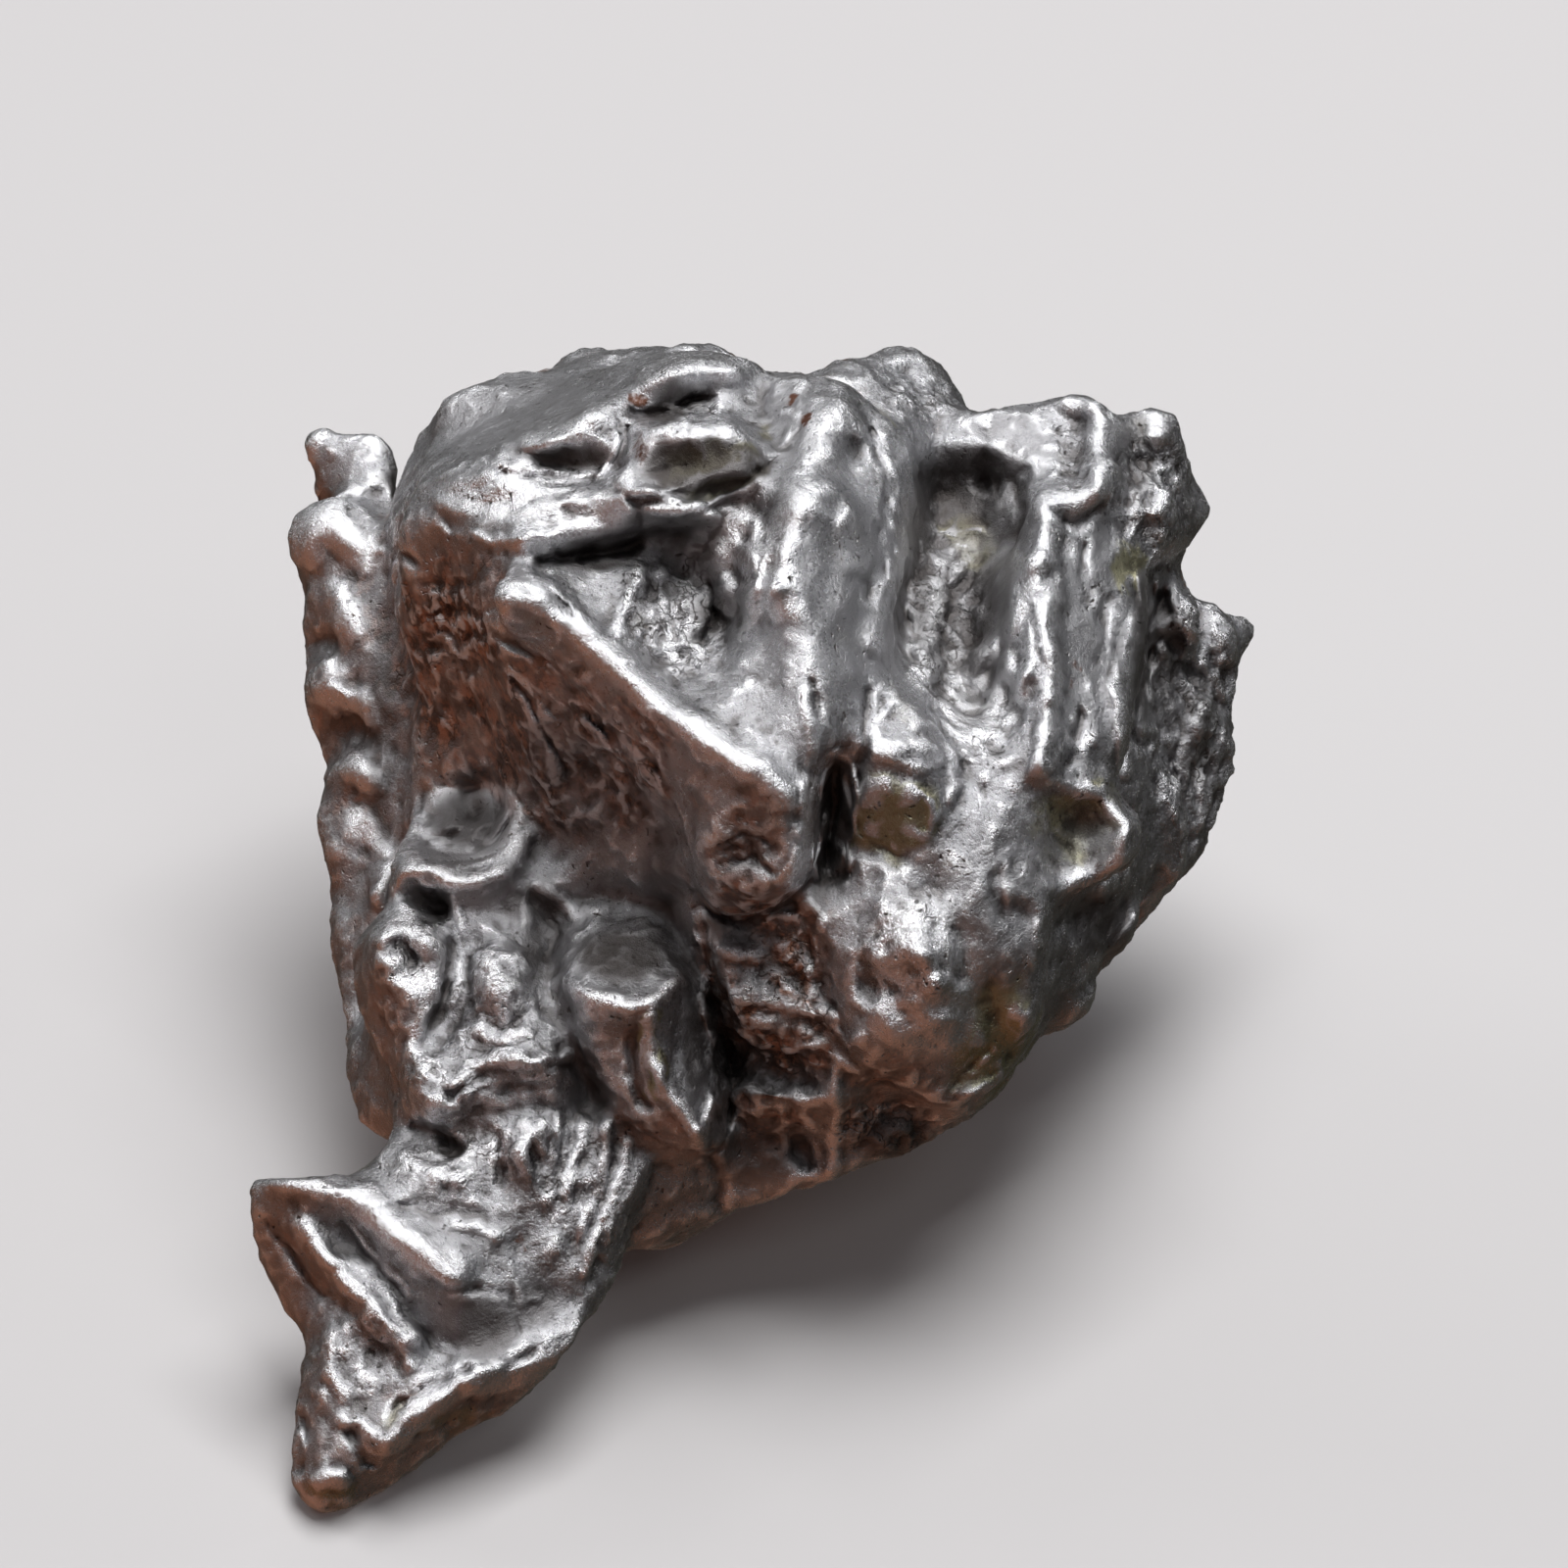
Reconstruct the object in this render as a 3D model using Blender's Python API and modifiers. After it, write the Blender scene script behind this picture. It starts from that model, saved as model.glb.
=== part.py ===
"""An iron meteorite: one lumpy piece of metal that stands on its tail and on two bosses under its back.

The lumps are placed as they look from in front of the broad face, in millimetres:
across to the right, up, and depth towards the eye. The finished piece is then
tipped back to the way it rests, and brought to metres.
"""

import math

import bmesh
import bpy
import numpy as np
from mathutils import Matrix, Vector, noise
from mathutils.bvhtree import BVHTree

# Driving dimensions, in millimetres unless named otherwise.
EYE_DISTANCE = 250.0  # from the eye to the plane of depth 0
TILT_DEGREES = 38.0  # how far the eye looks down on the resting piece
VOXEL = 0.3  # grain of the clay that joins the lumps
ROUNDING_STEPS = 6
GAP = 0.5  # gaps narrower than twice this close up
CELL = 6.5  # width of the thumb-print hollows on the back
CELL_DEPTH = 1.1
BEND_OFFSETS = (Vector((0, 0, 0)), Vector((31, 17, 5)), Vector((-23, 41, 11)))
FLAT_CUT = 0.35  # height worn off the three feet
TRIANGLES = 9600
METRES = 0.001

# Each lump is the convex hull of its corners: (across, up, depth).
LUMPS = {
    # The body that carries all the rest.
    "core": [
        (-12, 9, -3), (-12, 3, -5), (-3, 13, -4), (4, 12, -3), (10, 10, -5.5), (-9, 1, -3), (-4, -4, 0),
        (0, -9, -1),
        (5, -8, -1), (9, -3, -1), (11, 6, -4.5), (-10, 6, -14), (-10, -2, -14), (9, 8, -13),
        (9, -5, -13), (0, 12, -14),
        (0, -10, -12), (-3, 6, 2), (1, 2, 4), (4, -4, 3), (0, 8, 3),
    ],
    # The block at the upper left, with its flat crown, brow, lip and nose.
    "crown": [
        (-13.4, 10.6, -0.5), (-9.6, 12.0, 2.0), (-6.2, 13.5, 1.6), (-3.2, 15.1, 0.0), (-1.2, 14.8, 0.6),
        (-12.8, 11.7, -3.5),
        (-10.6, 12.7, -4.5), (-5.6, 15.5, -5), (-2.5, 15.7, -3.5), (-0.9, 15.0, -2.5), (-11, 8, -4),
        (-3, 11, -2), (-4, 12.0, 1.0),
    ],
    "brow": [
        (-12.0, 11.0, 0.0), (-9.5, 11.6, 1.6), (-6.0, 12.4, 2.0), (-1.0, 12.4, 2.2), (0.6, 11.0, 3.4),
        (-1.0, 8.6, 4.0),
        (-3.0, 9.2, 3.4), (-6, 9.6, 2.8), (-9.6, 9.0, 3.2), (-8, 10, -3), (0, 12, -3), (0, 9, -1),
    ],
    "cheek": [
        (-14.1, 9.3, -0.5), (-14.0, 7.4, -1.0), (-13.4, 4.6, -2.4), (-12.6, 1.8, -3.8),
        (-12.9, 10.5, 0.6), (-10.2, 9.0, 4.2),
        (-10.2, 7.0, 4.4), (-10.1, 4.6, 3.2), (-8.8, 1.2, 1.2), (-8.3, -1.2, 0.0), (-12.9, 10, -7),
        (-12.2, 3, -9), (-8, 0, -8),
    ],
    "beam": [
        (-12.6, 10.4, 1.0), (-10.0, 11.4, 2.2), (-6.4, 10.7, 4.0), (-2.8, 10.2, 4.8), (-2.5, 9.6, 4.6),
        (-5.2, 8.9, 5.0),
        (-8.6, 7.8, 5.4), (-9.8, 8.7, 5.4), (-10.8, 9.2, 4.2), (-9, 9, -1), (-3, 9, 0),
    ],
    "ledge": [
        (-5.9, 12.9, 2.4), (-4.8, 12.9, 4.2), (-2.2, 13.3, 4.2), (-0.4, 11.2, 4.8), (-2.5, 10.6, 5.4),
        (-4.8, 10.1, 5.4),
        (-5.9, 10.8, 4.4), (-5, 13.2, 0), (-1, 13, 0), (-2, 10.5, 0),
    ],
    "ledge_left": [
        (-9.4, 11.6, 2.2), (-6.2, 11.0, 3.6), (-6.0, 12.8, 3.2), (-7.0, 12.9, 2.8), (-9.2, 12.2, 1.6),
        (-7.5, 12, -1),
    ],
    "plate": [
        (-0.9, 14.4, 0.2), (1.0, 14.7, 0.2), (0.6, 12.6, 2.4), (0.0, 11.8, 3.4), (-0.9, 11.8, 3.2),
        (-1, 13, -2), (1, 13, -2),
    ],
    "lip": [
        (-10.1, 6.7, 5.2), (-9.1, 7.6, 5.4), (-9.7, 5.6, 5.4), (-8.4, 5.3, 5.9), (-6.6, 4.6, 6.9),
        (-6.0, 5.0, 6.7), (-4.4, 2.7, 7.8),
        (-2.6, 1.1, 8.6), (-0.6, 0.5, 9.0), (0.8, -0.4, 8.6), (0.9, -1.4, 8.2), (-7, 4.5, 3),
        (-4, 1.5, 3.5), (-1, -1.5, 4),
        (-2.6, -0.6, 8.2),
    ],
    "lip_knob": [
        (-10.2, 6.8, 5.2), (-9.6, 7.5, 5.0), (-8.9, 7.7, 5.2), (-8.0, 6.4, 6.0), (-8.6, 5.4, 6.0),
        (-9.8, 5.5, 5.2), (-9.2, 6.3, 6.6),
        (-9, 6, 2),
    ],
    "plateau": [
        (-5.2, 3.8, 6.9), (-3.4, 1.9, 8.0), (-0.5, 0.8, 8.7), (1.3, 0.8, 8.1), (1.6, 3.0, 7.0),
        (-0.8, 4.8, 6.4), (-3.2, 4.6, 6.2), (-4, 2, 3),
        (1, 2, 3),
    ],
    "hollow_floor": [
        (-9.0, 7.2, 4.4), (-5.0, 8.8, 3.4), (-1.2, 8.4, 4.0), (-6.6, 5.2, 5.4), (-3.0, 4.0, 5.6),
        (-0.6, 5.0, 5.6), (-4, 6, 4.6), (-6, 7, 0),
        (-1, 6, 0),
    ],
    "nose": [
        (-3.2, -0.8, 7.2), (-0.8, 0.2, 8.8), (0.9, -0.6, 8.3), (0.9, -2.8, 7.8), (0.2, -4.2, 6.6),
        (-1.4, -4.8, 5.8), (-2.9, -4.6, 5.2),
        (-3.3, -2.6, 6.0), (-1.2, -2.0, 8.7), (0, -1, 3), (-2, -3, 2),
    ],
    "column": [
        (2.2, 14.8, -0.8), (0.8, 14.2, 1.0), (1.8, 13.6, 2.2), (-0.8, 10.2, 4.4), (0.3, 9.8, 5.8),
        (1.7, 9.0, 5.4), (-1.2, 7.0, 5.4),
        (0.2, 6.2, 6.6), (2.6, 6.0, 5.4), (3.3, 8.5, 3.8), (4.2, 11.4, 1.4), (4.4, 12.8, -0.6),
        (3.4, 4.2, 5.0), (-1.0, 3.4, 6.8),
        (1.2, 3.0, 7.0), (0.4, 1.0, 8.2), (2.6, 1.6, 6.4), (3.9, 2.9, 4.8), (1, 8, -2), (3, 3, 0),
    ],
    "column_side": [
        (3.2, 14.0, -1.0), (4.4, 12.6, -1.2), (4.7, 11.0, -1.0), (4.5, 9.0, 0.0), (3.5, 5.8, 2.6),
        (3.4, 4.2, 3.8), (2.4, 8.0, 4.0),
        (2.4, 13.0, 0.6), (2, 9, -4), (3.6, 10, -5), (4.5, 9.6, -2.6), (3.6, 5.6, 0.6),
    ],
    "jaw": [
        (-10.1, 5.0, 3.4), (-8.4, 4.9, 5.0), (-3.6, 1.0, 7.4), (-3.0, -1.2, 6.8), (-3.1, -3.6, 4.6),
        (-4.2, -3.0, 2.8), (-6.2, -2.2, 1.2),
        (-8.2, -1.6, 0.3), (-9.2, 0.4, 0.0), (-10.2, 2.0, 0.8), (-8, 0, -6), (-3, -3, -5), (-3, 2, -3),
    ],
    "small_block": [
        (3.3, 3.4, 4.8), (5.0, 2.6, 4.4), (5.9, 1.5, 4.2), (6.1, 0.0, 4.6), (6.1, -2.0, 4.2),
        (2.8, -3.6, 4.4), (2.1, -1.8, 5.4),
        (2.2, 0.4, 6.4), (3.2, 0.8, 6.8), (5.2, 0.9, 6.2), (5.4, -1.2, 6.0), (2.9, 2.2, 6.0), (4, 0, 0),
        (3, 2, 1),
    ],
    # The shoulder on the right, its long ridge and the bulge below it.
    "shoulder_left": [
        (6.3, 13.5, -3.8), (9.4, 13.7, -4.2), (9.7, 12.0, -2.8), (8.5, 9.6, -2.0), (7.4, 9.2, -5.0),
        (6.6, 9.4, -6.6), (6.2, 12.0, -5.2),
        (7, 12, -9), (9, 12, -9), (8, 6, -7),
    ],
    "shoulder_face": [
        (9.4, 12.8, -3.6), (10.4, 14.0, -4.4), (11.6, 13.6, -3.8), (11.5, 12.2, -3.0),
        (11.2, 10.3, -1.0), (9.0, 10.2, -0.4),
        (9.6, 11.6, -2.6), (10, 12, -9), (10, 6, -6),
    ],
    "ridge": [
        (9.0, 10.2, -0.8), (11.2, 10.2, -1.2), (9.6, 8.4, 0.6), (8.6, 7.7, 0.8), (9.3, 4.6, 2.2),
        (9.3, 3.0, 2.8), (9.4, 1.0, 3.6),
        (7.6, 3.0, 1.0), (6.8, 1.0, 2.6), (7.0, 6.0, -1.0), (10.2, 1.0, 3.0), (12.1, 0.8, 1.0),
        (12.3, 3.2, -0.4), (12.6, 6.0, -2.0),
        (13.1, 8.0, -3.2), (11.8, 9.6, -2.6), (6, 3, -4), (12, 4, -8),
    ],
    "gully_floor": [
        (4.4, 10.0, -5.6), (7.8, 9.4, -4.6), (7.2, 6.0, -2.2), (4.2, 5.4, -1.2), (5.0, 3.0, 1.2),
        (6.6, 0.6, 3.0), (8.6, 0.6, 3.4), (8.4, 3.0, 1.4),
        (8.6, 7.0, -1.2), (5, 7, -7), (7, 2, -3),
    ],
    "shoulder_right": [
        (11.4, 13.2, -4.6), (12.8, 13.4, -5.0), (13.4, 13.9, -5.8), (14.2, 13.4, -6.4),
        (14.5, 11.4, -6.4), (14.6, 9.6, -5.8),
        (13.6, 8.2, -4.2), (12.2, 8.6, -3.2), (11.2, 10.2, -2.8), (12, 11, -11), (14, 9, -11), (11, 9, -8),
    ],
    "bump_right": [
        (14.2, 10.9, -6.5), (15.6, 9.9, -8.2), (15.2, 9.0, -8.0), (14.2, 8.4, -6.0), (13.4, 9.5, -10.0),
    ],
    "bulge": [
        (6.0, 0.6, 4.2), (9.2, 1.6, 3.8), (9.5, -4.2, 3.2), (9.4, -7.2, 1.6), (8.5, -9.8, 0.6),
        (7.4, -11.2, 0.4), (5.7, -12.1, 0.8),
        (4.6, -11.0, 2.2), (2.7, -9.3, 4.0), (2.6, -8.4, 4.8), (4.8, -8.8, 5.2), (5.2, -6.0, 6.4),
        (3.6, -4.2, 5.8), (1.5, -4.4, 4.0),
        (1.8, -6.6, 4.2), (8.6, -6.6, 3.8), (7.0, -2.0, 5.2), (4, -8, -4), (8, -6, -5), (6, 0, -4),
    ],
    "ear_root": [
        (8.8, 1.4, 3.2), (11.8, 1.6, 1.2), (11.6, -0.6, 1.4), (11.2, -3.0, 1.4), (9.0, -4.0, 3.0),
        (9, 0, -4), (11, 0, -4),
    ],
    "ear": [
        (9.6, 0.0, 2.6), (11.0, 0.0, 1.2), (12.1, -0.7, 0.4), (12.6, -1.9, 0.0), (12.3, -3.1, 0.2),
        (11.4, -3.8, 0.6), (10.2, -3.8, 1.2),
        (9.4, -4.3, 2.0), (11.2, -2.0, 1.8), (9, -2, -2), (11, -2, -2),
    ],
    "rear_right": [
        (12.4, 7.0, -8.5), (14.4, 7.4, -10.5), (15.4, 6.8, -12.0), (16.4, 4.4, -13.5),
        (16.4, 3.0, -13.0), (15.4, 0.8, -11.0), (15.4, -1.6, -11.0),
        (14.8, -2.8, -11.5), (12.0, -5.8, -9.5), (10.0, -8.0, -7.0), (9.4, -9.4, -5.5), (8, 6, -16),
        (9, -6, -16), (12, 2, -6), (10, -4, -3.5),
    ],
    "rear_spur": [
        (15.0, 7.0, -12.0), (17.3, 6.0, -14.5), (17.2, 5.2, -14.5), (16.2, 4.4, -13.5),
        (14.4, 5.0, -11.0), (14, 5, -16),
    ],
    # Below the nose.
    "belly": [
        (-3.0, -4.2, 3.4), (1.2, -4.0, 4.0), (2.4, -7.8, 3.6), (2.6, -11.2, 2.6), (1.4, -11.4, 2.4),
        (-0.2, -10.0, 3.2), (-2.9, -8.4, 3.4),
        (-3.2, -6.2, 3.2), (-2, -8, -4), (2, -10, -4), (0, -3, -2),
    ],
    "keel": [
        (-2.2, -10.2, 0.6), (0.0, -11.0, 1.4), (2.2, -11.6, 1.6), (1.8, -14.3, -1.0),
        (3.9, -13.1, -1.0), (6.0, -12.0, -0.6), (-0.8, -15.2, -1.8),
        (-2.6, -15.7, -2.2), (-4.6, -16.5, -2.6), (-5.6, -16.8, -2.8), (-6, -13, -1.0), (-4.5, -9, -1),
        (0, -12.4, -10.5), (6, -10.6, -11),
        (8.6, -10.0, -3.0), (-3, -8, -12),
    ],
    "knuckle": [
        (-7.9, -6.8, 3.6), (-7.2, -5.6, 2.8), (-5.8, -5.1, 2.2), (-4.4, -5.4, 2.8), (-3.7, -6.4, 3.6),
        (-4.1, -7.5, 4.6), (-5.3, -8.1, 5.2),
        (-6.7, -8.0, 5.0), (-7.7, -7.5, 4.4), (-6.9, -9.8, 3.2), (-4.6, -9.6, 3.8), (-6, -8, -1),
        (-4.5, -8, -1),
    ],
    "knuckle_shaft": [
        (-7.5, -8.2, 3.0), (-6.7, -11.0, 2.4), (-5.4, -12.2, 2.6), (-4.2, -12.4, 3.2),
        (-3.0, -12.6, 3.2), (-2.3, -13.5, 2.6), (-1.9, -12.8, 2.4),
        (-3.4, -10.8, 2.6), (-4.4, -9.4, 3.6), (-4.3, -8.2, 4.2), (-5.2, -10.4, 4.4), (-5, -10, -3),
        (-3, -12, -2), (-6, -13, -1),
    ],
    # The tongue that runs down to the left and ends in the tail.
    "cup": [
        (-14.2, -3.5, 0.4), (-13.6, -2.9, 0.2), (-12.0, -3.2, 0.8), (-10.8, -3.5, 1.0),
        (-9.8, -3.0, 0.6), (-9.2, -1.9, -0.2), (-9.3, -0.6, -1.6),
        (-10.0, 0.2, -3.0), (-12.4, 0.2, -3.6), (-13.6, -0.8, -3.0), (-14.0, -4.4, 0.2), (-11, -5, 0),
        (-12, -1, -7), (-13, -4, -5),
    ],
    "web": [
        (-13.0, -3.6, 0.0), (-9.4, -3.0, 0.4), (-7.6, -3.4, 1.2), (-6.0, -4.6, 1.6), (-5.0, -6.6, 1.0),
        (-7.0, -5.6, 1.8), (-8.4, -7.0, 1.6), (-12.6, -5.0, 0.6),
        (-8.4, -11, 0.8), (-5.0, -11, 0.6), (-12.0, -8.0, 1.0), (-9, -4, -6), (-4, -6, -4),
        (-6, -13, -3), (-13, -8, -5),
    ],
    "tongue_top": [
        (-15.0, -4.8, 0.4), (-15.4, -7.0, 0.2), (-15.2, -8.6, 0.0), (-14.0, -4.4, 1.6),
        (-12.7, -5.0, 1.8), (-12.6, -8.0, 2.8), (-14.0, -7.8, 2.4),
        (-13.0, -11.0, 3.2), (-12.2, -11.8, 3.4), (-14.4, -9.8, 1.4), (-14.2, -7, -5), (-12, -11, -3),
    ],
    "tongue_middle": [
        (-11.4, -6.4, 1.6), (-9.6, -6.6, 1.8), (-8.6, -7.4, 1.6), (-8.0, -9.2, 1.8), (-7.8, -11.0, 2.4),
        (-8.6, -12.0, 3.2), (-11.2, -11.8, 3.8),
        (-12.4, -9.8, 3.2), (-12.8, -8.6, 2.6), (-10, -8, 3.2), (-9.6, -10.4, 3.8), (-10, -7, -4),
        (-9, -12, -3),
    ],
    "tongue_waist": [
        (-14.6, -12.6, 1.4), (-13.2, -10.6, 2.4), (-8.0, -10.6, 2.2), (-6.4, -12.4, 1.8),
        (-6.0, -15.0, 1.4), (-10.0, -15.0, 3.2), (-14.4, -14.6, 2.4),
        (-13, -12, -3), (-8, -14, -3),
    ],
    "tongue_side": [
        (-15.8, -11.4, -3.4), (-15.4, -8.6, -3.0), (-15.6, -12.2, -3.0), (-14.2, -12.9, -0.6),
        (-13.6, -11.0, 1.6), (-13, -9, -6), (-11, -13, -5),
    ],
    "tongue_low": [
        (-15.2, -13.8, 2.6), (-14.4, -12.4, 2.4), (-12.6, -12.9, 3.2), (-10.0, -12.2, 3.6),
        (-7.0, -11.9, 2.6), (-5.6, -12.8, 2.0), (-4.9, -13.8, 1.8),
        (-5.8, -16.0, 1.8), (-6.5, -18.8, 2.4), (-7.4, -20.2, 3.2), (-9.6, -21.0, 4.2),
        (-11.4, -21.4, 4.8), (-14.0, -16.2, 4.8), (-11.8, -17.8, 5.2),
        (-13, -15, -1), (-7, -16, -2.5), (-10, -20, 0),
    ],
    "beak": [
        (-18.6, -14.0, 2.6), (-17.4, -13.9, 2.8), (-15.4, -14.3, 3.6), (-19.2, -15.2, 2.4),
        (-19.3, -16.4, 1.4), (-18.6, -18.0, 1.0), (-17.6, -19.3, 1.4),
        (-17.1, -15.0, 4.4), (-13.2, -16.2, 5.0), (-14.2, -19.4, 5.2), (-16.6, -17.4, 4.2),
        (-16.8, -20.0, 2.6), (-14, -18, 0), (-13, -14, 1),
    ],
    "tail": [
        (-16.4, -18.6, 4.0), (-14.4, -18.4, 5.0), (-12.4, -19.0, 5.0), (-11.0, -21.4, 5.0),
        (-13.4, -22.7, 5.2), (-15.4, -22.4, 5.4), (-16.4, -21.2, 4.8),
        (-17.2, -20.6, 2.6), (-17.8, -24.2, 3.6), (-18.1, -25.2, 3.4), (-17.4, -26.2, 3.2),
        (-16.4, -26.6, 3.2), (-15.4, -26.1, 3.2), (-14.0, -24.7, 3.4),
        (-16.6, -24.8, 5.6), (-11.4, -23.0, 3.2), (-9.0, -21.6, 3.4), (-7.6, -20.6, 3.0),
        (-15, -20, 0.5), (-11, -21, 1), (-8, -20, 1.4),
    ],
    # What lies behind, out of sight from the front.
    "back_plate": [
        (-12.4, 14.0, -6.5), (-12.5, 11.8, -5.0), (-9.0, 14.7, -7.5), (-5.0, 15.6, -7.5),
        (-2.2, 15.7, -6.5), (-12.2, 12.5, -12), (-4, 13.5, -15),
        (0, 14, -12), (-11, 7, -15), (-2, 8, -16), (-2, 14.5, -2),
    ],
    "rear_tip": [
        (-8.0, 15.3, -14.6), (-7.2, 16.1, -15.2), (-6.2, 15.9, -14.6), (-10.0, 13.6, -12),
        (-4, 14, -12), (-8, 11, -17.5), (-4.6, 14.8, -11.5),
    ],
    "rear_knob": [
        (2.0, 15.0, -5.5), (3.4, 15.6, -8.0), (4.4, 15.8, -8.5), (5.6, 15.3, -8.5), (6.2, 14.2, -8.0),
        (6.1, 13.2, -5.5), (4.6, 13.2, -2.5),
        (1.6, 15.0, -2.5), (3, 13, -14), (6, 10, -12), (4, 10, -3), (6.6, 12.6, -4.6), (5.6, 11.5, -2.2),
    ],
    "far_lobe_top": [
        (-17.4, 12.3, -13.5), (-17.0, 13.1, -14.0), (-15.4, 13.1, -14.0), (-13.6, 12.0, -13.0),
        (-17.2, 10.4, -12.5), (-14.2, 10.0, -10.5), (-13, 9, -15),
        (-16, 9, -15),
    ],
    "far_lobe": [
        (-17.1, 10.0, -11.0), (-17.6, 7.6, -11.5), (-17.2, 5.2, -11.0), (-16.4, 2.2, -10.0),
        (-16.2, -0.8, -9.5), (-14.8, 9.6, -8.5), (-14.4, 4.6, -6.5),
        (-14.6, -1.4, -6.0), (-15.9, -4.6, -8.5), (-14.6, -6.0, -6.0), (-10, 8, -14), (-10, -5, -14),
        (-14, 3, -15), (-10, 4, -5),
    ],
    "far_lobe_foot": [
        (-16.6, 0.4, -9.0), (-16.1, -3.0, -8.5), (-15.6, -8.0, -7.0), (-15.8, -11.4, -4.0),
        (-13.4, -12.2, -4.5), (-13, -6, -3), (-10, -6, -12),
        (-11, -11, -10),
    ],
    "boss_left": [
        (-13.0, -5.0, -12.0), (-9.4, -4.0, -19.6), (-11.6, -6.0, -19.2), (-10.6, -8.2, -18.8),
        (-8.2, -8.6, -18.2), (-7.4, -5.6, -19.2), (-8, 0, -18),
        (-4, -5, -13), (-8, -10, -10),
    ],
    "boss_right": [
        (4.2, -5.2, -19.0), (8.4, -4.6, -18.6), (9.6, -7.0, -17.0), (7.0, -8.5, -17.5),
        (4.8, -8.2, -18.1), (9, 0, -16), (2, -1, -18), (2, -8, -11),
        (9, -7, -10),
    ],
    "back_hump": [
        (-9, 10, -17), (-4, 11, -18.5), (2, 10, -17.5), (6, 6, -17), (4, 1, -18.5), (-2, 3, -19.5),
        (-8, 3, -18.5), (-6, -3, -17.5), (0, -4, -17.5),
        (-10, 6, -12), (8, 3, -12),
    ],
    # Lumps that fill the creases between the others.
    "back_body": [
        (-13.4, 9.4, -9.5), (-13.6, 0, -10), (-12.4, -6, -9), (-12.0, 12.0, -11.5), (-6, -11, -8),
        (4, -11.4, -8), (10, -7, -9), (13, 3, -10), (12, 9, -9),
        (4, 13, -10), (-8, 13, -9), (-10, 8, -15.5), (-9, -3, -15.5), (8, 7, -15.5), (8, -5, -15),
        (0, 12, -15.5), (0, -8, -15), (-5, 4, -18), (4, 4, -18),
    ],
    "back_foot": [
        (-13.0, -8.0, -7.0), (-10.0, -12.0, -5.0), (-5.0, -13.0, -7.0), (-6.0, -8.0, -14.0),
        (-12.0, -4.0, -12.0), (-8, -10, -11.0), (-14.0, -4.0, -8.0),
    ],
    "back_right": [
        (12.6, 9.6, -7.5), (14.0, 8.0, -11.0), (13.0, 6.0, -7.5), (9.0, 11.5, -9.0), (10.0, 9.0, -14.0),
        (13.0, 4.0, -14.5), (8.0, 6.0, -16.0),
        (12.0, -3.0, -13.5), (9.0, -6.0, -13.5), (6, 12, -12),
    ],
    "crease_right": [
        (12.0, 10.0, -5.0), (13.5, 8.6, -6.2), (13.0, 6.0, -5.2), (14.0, 7.0, -9.0), (12.0, 4.0, -5.5),
        (13, 9, -11), (10, 8, -8),
    ],
    "crease_low": [
        (9.2, -6.0, 0.0), (9.0, -9.0, -2.0), (10.6, -6.6, -4.6), (9.4, -8.8, -6.6), (8.0, -9.6, -4.0),
        (12, -5, -8), (9, -4, -6),
    ],
    "crease_top": [
        (-3.0, 14.4, -2.6), (2.6, 14.0, -2.6), (0.0, 13.4, -0.6), (-3, 13, -8), (4, 13.4, -8), (0.0, 14.3, -6.0),
        (2, 12, -4), (-1, 12, -2),
    ],
    "crease_crown": [
        (-13.2, 10.4, -3.5), (-12.6, 12.0, -5.0), (-14.0, 10.2, -8.0), (-13.2, 12.4, -9.5),
        (-10, 12.6, -6), (-12, 8, -8), (-14.4, 9.4, -7),
        (-10, 13, -10),
    ],
    "crease_cheek": [
        (-13.6, 2.4, -4.0), (-10.2, 2.0, -1.0), (-8.8, -0.6, -0.8), (-9.4, -2.6, -1.4),
        (-13.4, -1.2, -4.2), (-12, 2, -9), (-9, -2, -7),
    ],
    "crease_web": [
        (-10.0, -1.4, -2.2), (-8.0, -1.6, -0.4), (-7.6, -3.6, 0.8), (-9.8, -3.8, 0.2), (-9, -2, -6),
        (-6.4, -2.2, 0.6),
    ],
    "crease_hollow": [
        (-5.4, 6.4, 4.6), (-0.6, 6.0, 5.2), (-0.4, 3.4, 6.2), (-4.6, 3.4, 6.2), (-6.8, 5.4, 4.8),
        (-3, 5, 0), (-1, 3, 0), (-2.4, 8.4, 3.2),
    ],
    "crease_lip": [
        (-0.8, 1.4, 7.6), (1.9, 1.4, 7.0), (1.2, -0.6, 7.2), (-0.8, -1.4, 7.4), (0, 0, 3), (2.2, 2.6, 5.6),
    ],
    "crease_knob": [
        (-10.2, 6.6, 4.2), (-9.4, 4.4, 4.4), (-8.0, 5.2, 5.0), (-10.2, 4.0, 2.6), (-9, 5, 0),
        (-7.0, 4.2, 5.4),
    ],
    "crease_shaft": [
        (-8.2, -9.4, 1.4), (-5.4, -8.8, 2.4), (-5.4, -13.4, 1.6), (-7.6, -12.2, 2.2),
        (-3.4, -13.6, 1.2), (-7, -10, -3), (-5, -13, -3),
    ],
    "crease_block": [
        (0.4, -3.0, 4.8), (2.8, -3.0, 4.4), (2.6, -5.2, 4.2), (0.6, -5.4, 4.0), (4.4, -3.2, 4.8),
        (1, -4, 0), (3, -4, 0),
    ],
    "crease_keel": [
        (2.6, -9.4, 4.0), (8.0, -9.2, 1.8), (8.3, -10.2, 0.2), (6.6, -11.8, 0.4), (2.4, -11.6, 1.6),
        (4.6, -13.0, -1.8), (1.6, -12.8, 0.2),
        (8.4, -10.2, -3.0), (3, -9, -4),
    ],
    "crease_tongue": [
        (-5.4, -12.8, 1.2), (-6.4, -16.4, 0.4), (-5.8, -17.2, -1.4), (-2.4, -15.6, -1.4),
        (-2.4, -13.4, 1.2), (-4.4, -12.6, 1.8), (-5, -14, -5),
    ],
    "fin_shaft": [
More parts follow.
